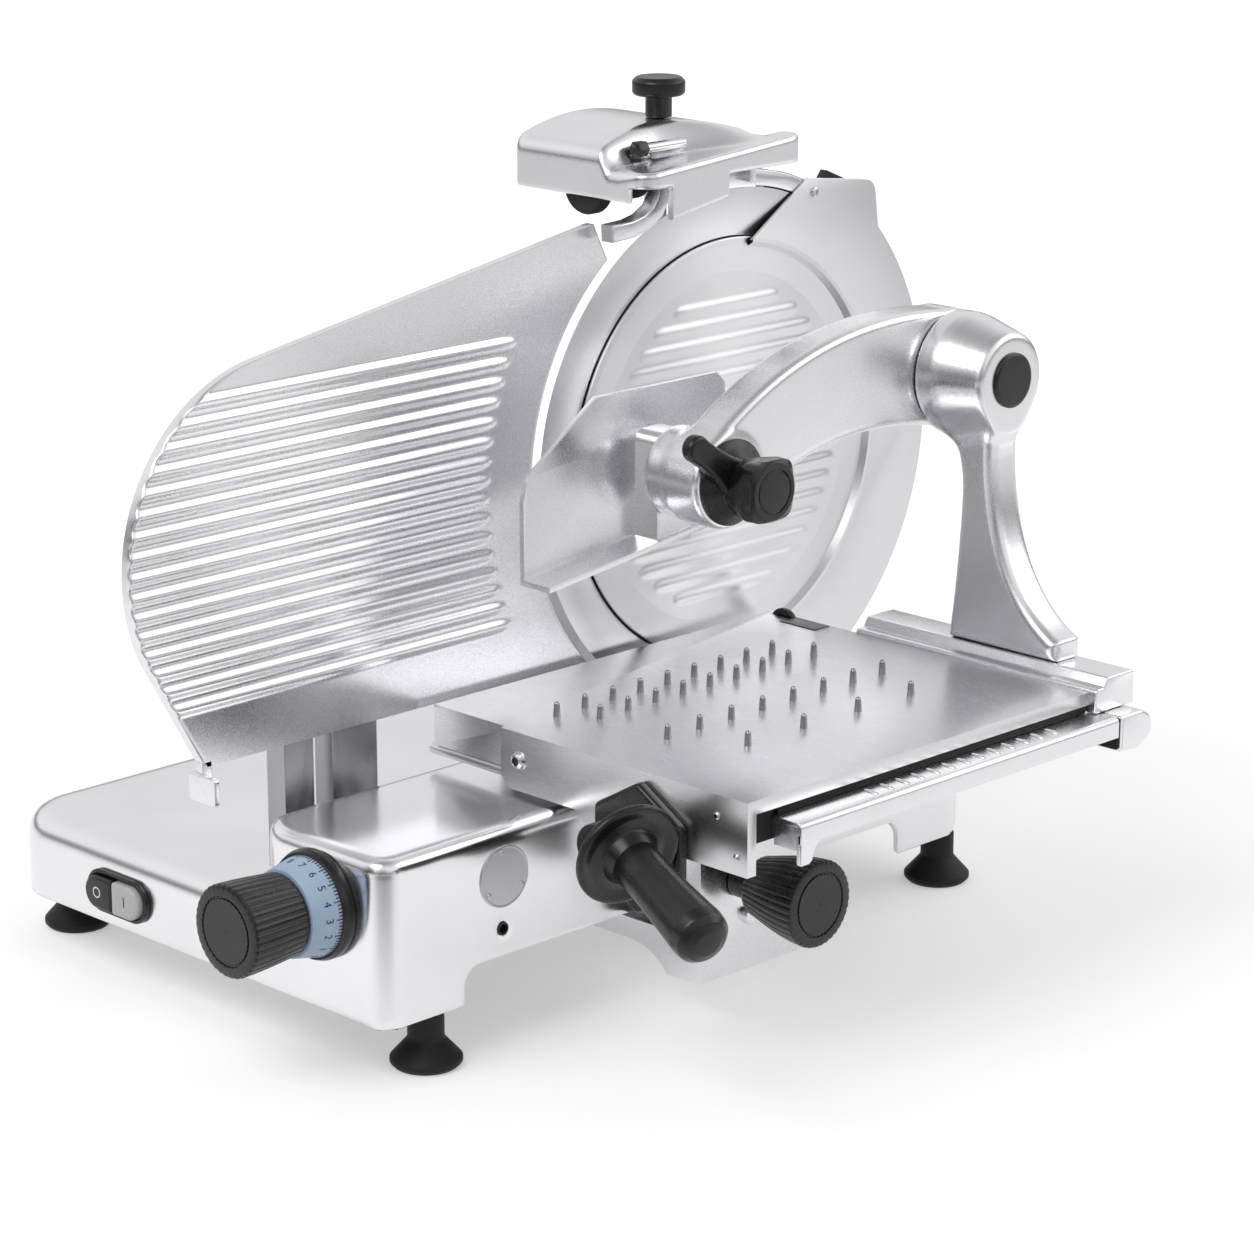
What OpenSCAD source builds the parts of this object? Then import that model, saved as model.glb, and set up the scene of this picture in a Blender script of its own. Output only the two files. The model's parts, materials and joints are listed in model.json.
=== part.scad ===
// Vertical ham slicer: ribbed gauge plate, belt driven knife, sliding meat carriage and press arm.
// Design frame: x = 0 is the cutting plane, y = 0 the knife axis, z = 0 the worktop.
// +X points away from the gauge plate, +Y away from the operator, +Z up.

/* [Knife] */
// Diameter of circular knife
knife_d = 370; // [360:1:376]
// Height of knife axis over the worktop
knife_z = 320; // [318:1:330]
// Thickness of knife plate
knife_t = 3.5; // [3:0.1:4]
// Depth of dished middle below the cutting plane
knife_dish = 7.5; // [7:0.1:8]
// Width of ground band inside the cutting edge
knife_band = 34; // [30:1:36]
// Width of sharpened bevel on the back of knife
knife_bevel = 9; // [6:1:12]
// Radius of bore in the middle of knife
knife_bore_r = 22; // [20:1:24]
// Radius of carrier flange behind the knife
knife_flange_r = 55; // [48:1:60]
// Thickness of carrier flange
knife_flange_t = 6; // [5:0.5:7]
// Radius of circle of knife screws
knife_screw_circle_r = 40; // [34:1:42]
// Radius of a knife screw
knife_screw_r = 3; // [2:0.5:4]
// Number of knife screws
knife_screw_count = 4; // [3:1:6]
// Radius of knife shaft
shaft_r = 12.5; // [11:0.5:14]
// Radius of hole through the knife shaft
shaft_hole_r = 5.6; // [5.4:0.1:7]

/* [Knife cover] */
// Gap between the cover and the ground band
cover_gap = 1.2; // [0.8:0.1:2]
// Thickness of cover plate
cover_t = 2.4; // [2:0.1:3]
// Width of plain ring round the ribbed middle of cover
cover_ring = 24; // [16:1:30]
// Reach of guard flange past the knife edge
guard_over = 22; // [18:1:26]
// Gap between the knife edge and the guard flange
guard_gap = 1.5; // [1.2:0.1:2]
// Thickness of guard flange
guard_t = 2.2; // [1.8:0.1:2.4]
// Height of trimmed bottom of guard flange
guard_bottom_z = 156; // [154:1:175]
// Radius of tie rod that holds the cover
tie_r = 5; // [4:0.5:5.2]
// Radius of knob on the tie rod
tie_knob_r = 22; // [16:1:26]
// Length of knob on the tie rod
tie_knob_len = 24; // [18:1:30]

/* [Knife housing] */
// Gap between the knife flange and the housing wall
housing_gap = 3; // [2:0.5:5]
// Thickness of housing wall behind the knife
housing_wall = 8; // [6:1:10]
// Radius of round head of housing
housing_head_r = 62; // [58:1:66]
// Half width of housing foot
housing_foot_w = 79; // [72:1:80]
// Housing foot, behind y = 0
housing_foot_y = 18; // [10:1:22]
// Depth of belt space behind the housing wall
housing_depth = 76; // [74:1:84]
// Thickness of housing rim
housing_rim = 5; // [4:0.5:6]
// Thickness of shield ring round the knife edge
shield_t = 8; // [6:1:10]
// Gap between the knife edge and the shield ring
shield_gap = 5; // [4:0.5:8]
// Thickness of belt cover
belt_cover_t = 4; // [3:0.5:5]

/* [Bearings and belt] */
// Outer radius of a knife bearing
bearing_r = 26; // [24:1:28]
// Width of a knife bearing
bearing_w = 15; // [12:1:16]
// Running clearance between shafts and bores
fit = 0.04; // [0.02:0.01:0.08]
// Radius of knife pulley
knife_pulley_r = 45; // [40:1:48]
// Radius of motor pulley
motor_pulley_r = 20; // [16:1:24]
// Width of pulleys
pulley_w = 18; // [14:1:19]
// Thickness of belt
belt_t = 4; // [3:0.5:5]
// Play between belt and the pulleys
belt_gap = 0.35; // [0.3:0.05:0.6]
// Motor axis, behind y = 0
motor_y = 20; // [12:1:28]
// Height of motor axis above the base top
motor_rise = 60; // [58:1:66]
// Radius of motor
motor_r = 52; // [46:1:55]
// Length of motor
motor_len = 118; // [100:1:124]
// Radius of motor shaft
motor_shaft_r = 7; // [6:0.5:9]
// Wall of motor cover
motor_cover_wall = 3; // [2:0.5:4]
// Play between motor and its cover
motor_cover_gap = 6; // [4:1:9]

/* [Base] */
// Left face, from x = 0
base_left = 265; // [258:1:275]
// Right face, from x = 0
base_right = 132.5; // [130:0.5:134]
// Front face, from y = 0
base_front = 449; // [446:1:455]
// Back face, from y = 0
base_back = 117.5; // [114:0.5:130]
// Height of low part of base
low_top = 98; // [96.5:0.5:99]
// Height of carriage block
block_top = 150; // [147:0.5:150.5]
// Gap from the cutting plane to the block
block_gap = 4.7; // [4:0.1:6]
// Wall of base
base_wall = 4; // [3:0.5:5]
// Radius of left corners of base
low_corner = 45; // [30:1:50]
// Radius of top edge of low part
low_edge = 20; // [12:1:24]
// Radius of front left corner of block
block_corner = 32; // [24:1:36]
// Radius of front right corner of base
front_corner = 13; // [10:1:18]
// Radius of back right corner of base
back_corner = 28; // [20:1:34]
// Radius of top edge of block
block_edge = 7; // [5:0.5:9]
// Height of arch in the right wall
arch_top = 63; // [61:0.5:64]
// Width of front leg beside the arch
arch_front_leg = 70; // [60:1:74]
// Width of back leg beside the arch
arch_back_leg = 78; // [60:1:82]
// Radius of corners of arch
arch_r = 14; // [8:1:18]
// Radius of hole in the right wall
wall_hole_r = 3.5; // [2:0.5:5]
// Thickness of bottom cover
bottom_t = 2; // [1.5:0.5:3]
// Width of ledge that carries the bottom cover
ledge_w = 8; // [6:1:10]
// Thickness of ledge that carries the bottom cover
ledge_t = 4; // [3:0.5:6]

/* [Feet] */
// Height of feet
foot_h = 37; // [35:0.5:39]
// Radius of foot disc
foot_r = 23.7; // [20:0.1:26]
// Radius of foot stem
foot_stem_r = 12; // [10:0.5:14]
// Radius of threaded stud in a foot
foot_stud_r = 5; // [4:0.5:6]
// Length of stud above the stem
foot_stud_len = 16; // [12:1:18]
// Distance of feet from the sides
foot_inset_x = 16; // [15:0.5:20]
// Distance of feet from the back
foot_inset_back = 17; // [15:0.5:22]
// Distance of feet from the front
foot_inset_front = 49.5; // [40:0.5:55]

/* [Switch] */
// Switch, from x = 0
switch_x = 134; // [110:1:160]
// Height of switch
switch_z = 63; // [60:0.5:64]
// Width of switch bezel
switch_w = 64; // [60:1:70]
// Height of switch bezel
switch_h = 30; // [27:1:32]
// Height of bezel over the front
switch_bezel_t = 4; // [3:0.5:5]
// Play between buttons and the bezel
button_gap = 0.5; // [0.4:0.1:0.8]
// Rim of bezel round the buttons
switch_rim = 3; // [2:0.5:4]
// Height of buttons over the bezel
button_out = 4.5; // [4:0.5:6]
// Travel of buttons
button_travel = 3; // [2:0.5:3.5]

/* [Thickness dial] */
// Dial axis, from x = 0
dial_x = 72; // [70:1:76]
// Height of dial axis
dial_z = 110.5; // [109.5:0.5:111]
// Radius of black dial bezel
dial_bezel_r = 36.5; // [35:0.5:38]
// Thickness of dial bezel
dial_bezel_t = 9; // [7:0.5:10]
// Radius of wide end of scale ring
scale_r = 33.5; // [32:0.5:34]
// Radius of narrow end of scale ring
scale_end_r = 29; // [27:0.5:30]
// Length of scale ring
scale_len = 20; // [16:1:24]
// Radius of dial knob at its face
dial_knob_r = 30.5; // [28:0.5:32]
// Radius of dial knob at the scale
dial_back_r = 27.5; // [25:0.5:28]
// Length of dial knob
dial_knob_len = 46.5; // [42:0.5:50]
// Number of flutes on a knob
flute_count = 30; // [20:1:34]
// Radius of a flute
flute_r = 1.6; // [1.2:0.1:1.8]
// Radius of dial shaft
dial_shaft_r = 8; // [6:0.5:9]
// Radius of spiral cam
cam_r = 32; // [31.5:0.5:33]
// Thickness of spiral cam
cam_t = 8; // [7:0.5:9]
// Distance of cam behind the front face
cam_depth = 24; // [23:0.5:26]
// Start radius of spiral groove
groove_start = 10; // [9.5:0.1:10.5]
// Turn of dial from closed to open, in degrees
dial_turn = 300; // [300:1:300]
// Radius of cam follower pin
follower_r = 3; // [2.5:0.1:3.2]
// Play between follower and the groove
groove_gap = 0.5; // [0.4:0.1:0.7]

/* [Gauge plate] */
// Travel of gauge plate, the thickest slice
gauge_open = 16; // [16:0.5:16]
// Reach of gauge plate before the knife axis
gauge_reach = 533; // [530:1:545]
// Radius of round front end of plate
gauge_nose_r = 128; // [124:1:132]
// Height of bottom edge of plate
gauge_bottom_z = 190; // [188:0.5:191]
// Height of upper back corner of plate
gauge_top_z = 496; // [490:1:500]
// Upper back corner, before y = 0
gauge_top_y = 131; // [126:1:136]
// Lower front corner, before y = 0
gauge_toe_y = 478; // [470:1:486]
// Gap between the plate and the knife edge
gauge_gap = 5; // [4:0.5:7]
// Thickness of plate with its ribs
gauge_t = 9; // [8:0.5:10]
// Height of ribs
rib_h = 1.8; // [1.2:0.1:2.2]
// Width of ribs
rib_w = 9; // [7:0.5:10]
// Distance between the ribs
rib_pitch = 12.9; // [12:0.1:13.5]
// Number of ribs on the gauge plate
gauge_rib_count = 16; // [12:1:16]
// Height of lowest rib
gauge_rib_z = 232; // [226:1:238]
// Gap between the ends of ribs and the knife edge
rib_end_gap = 45; // [35:1:55]
// Width of guide tab below the plate
tab_w = 24; // [18:1:28]
// Height of guide tab below the plate
tab_h = 27; // [20:1:30]
// Thickness of guide tab
tab_t = 4; // [3:0.5:6]
// Thickness of gauge carrier
carrier_t = 18; // [16:1:20]
// Width of front carrier post
post_w = 25; // [22:1:28]
// Width of back carrier post
panel_w = 39; // [34:1:42]
// Front gauge rod, before y = 0
gauge_rod_y = 394.5; // [393:0.5:396]
// Distance between the two gauge rods
gauge_rod_pitch = 48; // [46:1:50]
// Radius of gauge rods
gauge_rod_r = 7; // [6:0.5:7.5]
// Radius of gauge rod bushes
gauge_bush_r = 10; // [9:0.5:10.4]
// Length of gauge rod bushes
gauge_bush_len = 25; // [20:1:28]

/* [Carriage] */
// Guide rod, from x = 0
guide_x = 90; // [88:1:92]
// Height of guide rod
guide_z = 68; // [66:0.5:69]
// Radius of guide rod
guide_r = 9; // [8:0.5:10]
// Length of carriage along the guide rod
carriage_len = 100; // [96:1:104]
// Carriage middle, before y = 0
carriage_y = 177; // [174:1:180]
// Height of bottom of carriage
carriage_z = 27; // [22:0.5:28]
// Height of underside of arm below the base wall
carriage_arm_z = 43; // [40:0.5:44]
// Thickness of arm below the base wall
carriage_arm_t = 15; // [12:0.5:16]
// Half width of carriage shoe round the guide rod
shoe_w = 18; // [17:0.5:20]
// Height of shoe above the guide rod axis
shoe_h = 20; // [19:0.5:22]
// Right face of carriage, from x = 0
carriage_x = 193; // [190:1:196]
// Thickness of carriage upright
upright_t = 31; // [28:1:33]
// Radius of bushes in the shoe
guide_bush_r = 13; // [12:0.5:14]
// Width of head that carries the feed rods
head_w = 55; // [50:1:56]
// Length of head that carries the feed rods
head_len = 125; // [118:1:132]
// Distance between the feed rods
feed_rod_pitch = 85; // [80:1:90]
// Radius of feed rods
feed_rod_r = 7; // [6:0.5:8]
// Travel of table away from the knife
feed_travel = 115; // [100:1:118]
// Radius of lock knob
lock_knob_r = 29.5; // [26:0.5:31]
// Radius of lock knob at its collar
lock_back_r = 20; // [18:0.5:24]
// Length of lock knob
lock_knob_len = 53; // [48:1:56]
// Height of lock knob axis
lock_knob_z = 92.4; // [88:0.2:100]
// Lock knob axis, before y = 0
lock_knob_y = 190; // [186:1:194]
// Length of collar of lock knob
lock_collar_len = 19; // [16:1:22]
// Radius of stop stud below the lock knob
stud_r = 6; // [4:0.5:7]

/* [Meat table] */
// Height of table top
table_z = 193.3; // [192.8:0.1:195]
// Thickness of table sheet
sheet_t = 3; // [2.5:0.1:3.4]
// Gap from the cutting plane to the table
table_gap = 6.5; // [5.5:0.1:8]
// Right edge of table, from x = 0
table_right = 297.5; // [292:0.5:302]
// Front edge of table, from y = 0
table_front = 293.8; // [290:0.1:298]
// Back edge of table, behind y = 0
table_back = 39.5; // [36:0.5:42]
// Width of narrow strip beside the knife
strip_w = 69; // [64:1:72]
// Setback of strip from the front
strip_back = 4; // [3:0.1:6]
// Height of strip apron
strip_h = 28; // [24:0.5:30]
// Height of front apron
apron_h = 40; // [36:0.5:41]
// Extra depth of apron right of the base
apron_drop = 9; // [6:0.5:12]
// Height of lips along the right and back edges
lip_h = 9; // [7:0.5:10]
// Thickness of rod holders under the table
holder_t = 12; // [10:0.5:13]
// Radius of stop rod
stop_rod_r = 3.75; // [3:0.05:4.5]
// Gap from the cutting plane to the end of stop rod
stop_rod_gap = 1; // [1:0.1:3]
// Radius of foot of a spike
spike_r = 2.6; // [2:0.1:3]
// Height of spikes
spike_h = 10; // [8:0.5:12]
// Step between spikes
spike_pitch = 26; // [24:0.5:26.5]
// Depth of notch in the back edge of the strip
notch_d = 7; // [5:0.5:9]
// Width of notch in the back edge of strip
notch_w = 43; // [36:1:48]
// Radius of button head screw in the apron
apron_screw_r = 6.5; // [5:0.5:8]
// Radius of small screws in the apron
small_screw_r = 2.5; // [2:0.25:3.5]
// Width of return at the right end of apron
return_w = 8; // [6:1:12]

/* [Grip bar] */
// Width of grip bar
grip_w = 24; // [20:0.5:26]
// Height of outer wall of grip bar
grip_h = 14; // [11:0.5:16]
// Height of top of grip bar
grip_top_z = 179; // [177:0.5:181]
// Wall of grip bar
grip_t = 3; // [2:0.5:4]
// Count of ridges on the grip bar
ridge_count = 13; // [9:1:15]
// Distance between the ridges
ridge_pitch = 15; // [12:0.5:16]
// Length of end cap of grip bar
grip_cap_len = 37; // [30:1:40]

/* [Handle] */
// Handle, from x = 0
handle_x = 209; // [200:1:214]
// Height of middle of handle plate
handle_z = 144; // [142:1:150]
// Half width of handle plate
handle_plate_r = 44; // [40:1:46]
// Thickness of handle plate
handle_plate_t = 9; // [7:0.5:11]
// Radius of round hand guard
hand_guard_r = 35.5; // [34:0.5:38]
// Thickness of round hand guard
hand_guard_t = 6; // [5:0.5:8]
// Length of grip
handle_len = 106.5; // [100:0.5:112]
// Radius of grip at its end
handle_r = 18.5; // [16:0.5:20]
// Radius of grip at the guard
handle_neck_r = 13; // [11:0.5:14]
// Distance of hand guard from its plate
guard_out = 35; // [35:0.5:38]
// Height of hand guard over the middle of its plate
guard_rise = 13.5; // [12:0.5:16]
// Downward slope of grip, in degrees
handle_slope = 16; // [14:1:18]
// Turn of grip away from the table front, in degrees
handle_yaw = 75; // [72:1:78]

/* [Press arm] */
// Thickness of rail on the back edge of table
rail_d = 41; // [40:0.5:44]
// Left end of rail, from x = 0
rail_left = 88; // [80:1:96]
// Height of rail above the table top
rail_rise = 9.7; // [8:0.1:11]
// Depth of rail below the table top
rail_drop = 14; // [12:0.5:18]
// Pivot, behind y = 0
pivot_y = 67; // [64:0.5:70]
// Height of pivot over the worktop
pivot_z = 389; // [384:1:394]
// Radius of column head beside the arm
column_head_r = 42; // [38:0.5:44]
// Radius of column head at its outer end
column_end_r = 33; // [29:0.5:35]
// Length of column head
column_head_len = 53; // [48:0.5:56]
// Thickness of column
column_t = 26; // [22:0.5:28]
// Width of column at its waist
column_waist = 25; // [22:0.5:28]
// Width of column foot
column_foot_w = 97; // [90:1:102]
// Radius of black cap on the column head
column_cap_r = 19; // [16:0.5:21]
// Arm's right face, from x = 0
arm_x = 148.2; // [146:0.1:150]
// Thickness of arm
arm_t = 31; // [27:0.5:34]
// Radius of pivot pin
pivot_pin_r = 12; // [10:0.5:14]
// Distance of lower hub in front of pivot
arm_reach = 222; // [214:1:228]
// Drop of lower hub below the pivot
arm_drop = 42; // [38:1:46]
// Radius of lower hub
hub_r = 31; // [28:0.5:33]
// Length of lower hub
hub_len = 50; // [45:0.5:53]
// Radius of press shaft
press_shaft_r = 9; // [7:0.5:11]
// Length of clamp knob
clamp_knob_len = 40; // [34:1:44]
// Radius of clamp knob
clamp_knob_r = 22; // [20:0.5:24]
// Length of clamp lever
clamp_lever = 55; // [50:1:60]
// Radius of end of clamp lever
clamp_tip_r = 9; // [7:0.5:10]

/* [Press plate] */
// Press plate, from x = 0
press_x = 75; // [71:0.5:79]
// Thickness of press plate
press_t = 4; // [3:0.5:5]
// Reach of press plate in front of the hub
press_front = 118; // [112:1:122]
// Reach of press plate behind the hub
press_back = 70; // [60:1:76]
// Height of press plate above the hub axis
press_up = 53; // [48:1:58]
// Depth of press plate below the hub axis
press_down = 53; // [48:1:56]
// Size of cut corner of the press plate
press_cut = 60; // [50:1:66]
// Width of flange along the lower edge
press_flange_w = 24; // [20:0.5:28]
// Slope of lower edge, in degrees
press_slope = 9; // [6:0.5:12]
// Thickness of bracket behind the press plate
press_rib_t = 16; // [12:0.5:20]

/* [Sharpener] */
// Gap between the top of knife and the sharpener
sharp_gap = 3; // [2:0.5:5]
// Width of sharpener left of cutting plane
sharp_left = 110; // [104:1:114]
// Width of sharpener right of cutting plane
sharp_right = 30; // [27:0.5:33]
// Sharpener's front, before y = 0
sharp_front = 113; // [108:1:118]
// Sharpener's back, behind y = 0
sharp_back = 45; // [40:1:50]
// Height of sharpener's front wall
sharp_h = 33; // [30:0.5:36]
// Rise of domed top above the front wall
sharp_dome = 14; // [10:0.5:16]
// Wall of sharpener housing
sharp_wall = 4; // [3:0.5:5]
// Corner radius of sharpener housing
sharp_r = 14; // [10:0.5:16]
// Drop of wing below the housing
wing_drop = 12; // [9:0.5:15]
// Post, from x = 0
post_x = 36; // [34:0.5:38]
// Post, before y = 0
post_y = 38; // [34:0.5:42]
// Radius of post
post_r = 8; // [7:0.5:9]
// Lift of sharpener
sharp_lift = 30; // [20:1:30]
// Radius of lock knob stem
t_stem_r = 9.3; // [8:0.1:10]
// Radius of lock knob head
t_head_r = 18.5; // [16:0.5:20]
// Height of lock knob above the dome
t_knob_h = 28; // [24:0.5:32]
// Height of lock knob head
t_head_h = 13; // [10:0.5:15]
// Radius of sharpening stones
stone_r = 20; // [16:0.5:21]
// Thickness of sharpening stones
stone_t = 10; // [8:0.5:12]
// Radius of spindle of stones
spindle_r = 3; // [2.5:0.1:3.5]
// Radius of push pin of stone
push_pin_r = 3.5; // [3:0.1:4.5]
// Travel of push pin
push_travel = 4; // [3:0.5:5]

/* [Rating plate and gland] */
// Radius of bare rating plate
plate_r = 20.7; // [16:0.1:22]
// Thickness of rating plate
plate_t = 1.2; // [0.8:0.1:1.6]
// Radius of cable gland
gland_r = 11; // [9:0.5:13]
// Radius of cord bore in the gland
cord_r = 4; // [3:0.1:5]

/* [Hidden] */
$fn = 64;

// Overshoot of a cut past its face
over = 1;
// Gap between moving faces that aren't a fit
clear = 0.5;
// Thickness of a thin washer face or pointed edge
edge_t = 0.4;
knife_r = knife_d / 2;
knife_top_z = knife_z + knife_r;
band_r = knife_r - knife_band;
knife_back_x = -knife_dish - knife_t;
flange_back_x = knife_back_x - knife_flange_t;
housing_x = flange_back_x - housing_gap;
housing_inner_x = housing_x - housing_wall;
housing_back_x = housing_x - housing_depth;
belt_cover_x = housing_back_x - belt_cover_t;
bearing_front_x = housing_inner_x - 2;
bearing_back_x = bearing_front_x - 2 * bearing_w - 8;
pulley_x = bearing_back_x - 5;
shaft_end_x = pulley_x - pulley_w - 1;
motor_z = low_top + motor_rise;
motor_front_x = belt_cover_x - 2;
guard_r = knife_r + guard_over;
gauge_arc_r = knife_r + gauge_gap;
gauge_nose_y = -gauge_reach + gauge_nose_r;
carrier_x = -gauge_t - carrier_t;
gauge_rods_y = [-gauge_rod_y, -gauge_rod_y + gauge_rod_pitch];
post_rise = 120;
dial_front_y = -base_front - dial_bezel_t - scale_len;
follower_x = dial_x - groove_start;
cam_y = -base_front + cam_depth;
groove_depth = cam_t - 2;
feet_x = [-base_left + foot_inset_x, base_right - foot_inset_x];
feet_y = [-base_front + foot_inset_front, base_back - foot_inset_back];
boss_r = foot_stud_r + 9;
table_under_z = table_z - sheet_t;
feed_z = block_top + 10 + feed_rod_r + 6;
feed_rods_y = [-carriage_y - feed_rod_pitch / 2, -carriage_y + feed_rod_pitch / 2];
head_x = [carriage_x + 12 - head_w, carriage_x + 12];
head_z = [block_top + 10, table_under_z - 4];
holder_left = [table_gap + 3, table_gap + 3 + holder_t];
holder_right = [table_right - 2 - holder_t, table_right - 2];
strip_right = table_gap + strip_w;
stop_rod_y = -table_front + 8;
stop_rod_z = table_z - strip_h - stop_rod_r - clear;
grip_x = [holder_right[1], holder_right[1] + grip_w];
grip_y = [-table_front + 25, table_back + 7];
rail_y = [table_back, table_back + rail_d];
rail_top_z = table_z + rail_rise;
hub_y = pivot_y - arm_reach;
hub_z = pivot_z - arm_drop;
column_x = [arm_x + clear, arm_x + clear + column_head_len];
sharp_z = knife_top_z + sharp_gap;
sharp_top_z = sharp_z + sharp_h + sharp_dome;
wing_z = sharp_z - wing_drop;
stone_z = sharp_z + 7;
t_knob_x = post_x - 3;
push_pin_x = 5;
push_pin_y = [-sharp_front + 29, -sharp_front + 71];
push_pin_z = sharp_z + sharp_h;
t_pin_r = 4;
t_pin_len = 5;
box_end_y = -5;
gland_x = -base_left + 66;
gland_z = 66;
handle_guard = [handle_x + 26, -table_front - handle_plate_t - guard_out, handle_z + guard_rise];
handle_end_x = handle_guard[0] + (handle_len - handle_r) * cos(handle_slope) * sin(handle_yaw) + handle_r;
// The origin is the middle of the footprint
origin_x = (max(grip_x[1], handle_end_x) - base_left + foot_inset_x - foot_r) / 2;
origin_y = (guard_r - gauge_reach) / 2;

// A box from three ranges
module box(x, y, z) {
    translate([x[0], y[0], z[0]]) cube([x[1] - x[0], y[1] - y[0], z[1] - z[0]]);
}

// Cylinders along the three axes
module rod_x(x, y, z, r) {
    translate([x[0], y, z]) rotate([0, 90, 0]) cylinder(r = r, h = x[1] - x[0]);
}
module rod_y(x, y, z, r) {
    translate([x, y[0], z]) rotate([-90, 0, 0]) cylinder(r = r, h = y[1] - y[0]);
}
module rod_z(x, y, z, r) {
    translate([x, y, z[0]]) cylinder(r = r, h = z[1] - z[0]);
}

// A flat outline carried along x or along y
module along_x(x) {
    translate([x[0], 0, 0]) rotate([90, 0, 90]) linear_extrude(x[1] - x[0]) children();
}
module along_y(y) {
    translate([0, y[1], 0]) rotate([90, 0, 0]) linear_extrude(y[1] - y[0]) children();
}

// A (radius, height) profile turned about an axis along x or y
module turned_x(y, z) {
    translate([0, y, z]) rotate([0, 90, 0]) rotate_extrude() children();
}
module turned_y(x, z) {
    translate([x, 0, z]) rotate([-90, 0, 0]) rotate_extrude() children();
}

// A rectangle with a radius at each corner, anticlockwise
module plan(x, y, r) {
    polygon([[x[0] + r[0], y[0]], [x[1] - r[1], y[0]], [x[1], y[0] + r[1]], [x[1], y[1] - r[2]],
             [x[1] - r[2], y[1]], [x[0] + r[3], y[1]], [x[0], y[1] - r[3]], [x[0], y[0] + r[0]]]);
    translate([x[0] + r[0], y[0] + r[0]]) circle(r[0]);
    translate([x[1] - r[1], y[0] + r[1]]) circle(r[1]);
    translate([x[1] - r[2], y[1] - r[2]]) circle(r[2]);
    translate([x[0] + r[3], y[1] - r[3]]) circle(r[3]);
}
module even_plan(x, y, r) {
    plan(x, y, [r, r, r, r]);
}

// A slab with rounded corners and top edge
module soft_slab(x, y, z, corners, edge) {
    intersection() {
        translate([0, 0, z[0]]) linear_extrude(z[1] - z[0]) plan(x, y, corners);
        along_x([x[0] - over, x[1] + over]) even_plan(y, [z[0] - 3 * edge, z[1]], edge);
        along_y([y[0] - over, y[1] + over]) even_plan(x, [z[0] - 3 * edge, z[1]], edge);
    }
}

// A stadium outline
module stadium(c, w, h) {
    translate([c[0] - (w - h) / 2, c[1] - h / 2]) square([w - h, h]);
    for (s = [-1, 1]) translate([c[0] + s * (w - h) / 2, c[1]]) circle(h / 2);
}

// Points of a quadratic curve
function curve(a, b, c, n) = [for (i = [0:n]) let (t = i / n)
    (1 - t) * (1 - t) * a + 2 * t * (1 - t) * b + t * t * c];

// A fluted cone grip standing on z = 0, with a sunk face at its free end
module fluted_grip(back_r, r, h, count) {
    chamfer = 3;
    face_depth = 1;
    lean = atan((r - back_r) / (h - 2 * chamfer));
    difference() {
        rotate_extrude() polygon([[0, 0], [back_r - chamfer, 0], [back_r, chamfer], [r, h - chamfer],
            [r - chamfer, h], [0, h]]);
        for (i = [0:count - 1]) rotate(i * 360 / count) translate([back_r + flute_r / 2, 0, chamfer])
            rotate([0, lean, 0]) cylinder(r = flute_r, h = 3 * h, center = true);
        translate([0, 0, h - face_depth]) cylinder(r = r - 2 * chamfer, h = 2 * face_depth);
    }
}

module base_outer() {
    soft_slab([-base_left, base_right - back_corner], [-base_front, base_back], [foot_h, low_top],
        [low_corner, front_corner, front_corner, low_corner], low_edge);
    soft_slab([block_gap, base_right], [-base_front, base_back], [foot_h, block_top],
        [block_corner, front_corner, back_corner, front_corner], block_edge);
    // Below the low top the front of the block runs on flat into the low part
    box([-base_left + low_corner, base_right - back_corner], [-base_front, base_back],
        [foot_h, low_top - low_edge]);
}

module base_inner() {
    w = base_wall;
    translate([0, 0, foot_h - over]) linear_extrude(low_top - low_edge - foot_h + over)
        plan([-base_left + w, base_right - back_corner], [-base_front + w, base_back - w],
            [low_corner - w, 1, 1, low_corner - w]);
    translate([0, 0, foot_h - over]) linear_extrude(low_top - w - foot_h + over)
        plan([-base_left + low_edge, base_right - back_corner],
            [-base_front + low_edge, base_back - low_edge],
            [low_corner - low_edge, 1, 1, low_corner - low_edge]);
    translate([0, 0, foot_h - over]) linear_extrude(block_top - block_edge - foot_h + over)
        plan([block_gap + w, base_right - w], [-base_front + w, base_back - w],
            [block_corner - w, front_corner - w, back_corner - w, front_corner - w]);
    translate([0, 0, foot_h - over]) linear_extrude(block_top - w - foot_h + over)
        plan([block_gap + block_edge, base_right - block_edge],
            [-base_front + block_edge, base_back - block_edge],
            [block_corner - block_edge, front_corner - block_edge, back_corner - block_edge,
             front_corner - block_edge]);
}

// Ledge for the bottom cover, with a cross rib
module base_ledge() {
    z = foot_h + bottom_t;
    translate([0, 0, z]) linear_extrude(ledge_t) difference() {
        plan([-base_left + base_wall - over, 0], [-base_front + base_wall - over, base_back - base_wall + over],
            [low_corner - base_wall, 1, 1, low_corner - base_wall]);
        plan([-base_left + base_wall + ledge_w, -ledge_w],
            [-base_front + base_wall + ledge_w, base_back - base_wall - ledge_w],
            [low_corner - ledge_w, 1, 1, low_corner - ledge_w]);
    }
}

module base_bosses() {
    for (x = feet_x, y = feet_y) rod_z(x, y, [foot_h, foot_h + foot_stud_len + 4], boss_r);
    rod_y(guide_x, [-base_front + over, -base_front + base_wall + 12], guide_z, guide_r + 6);
    rod_y(guide_x, [base_back - base_wall - 12, base_back - over], guide_z, guide_r + 6);
    for (y = gauge_rods_y) rod_x([block_gap + over, block_gap + gauge_bush_len], y, dial_z, gauge_bush_r + 4);
    rod_y(dial_x, [-base_front + over, cam_y - 3], dial_z, dial_shaft_r + 5);
}

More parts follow.
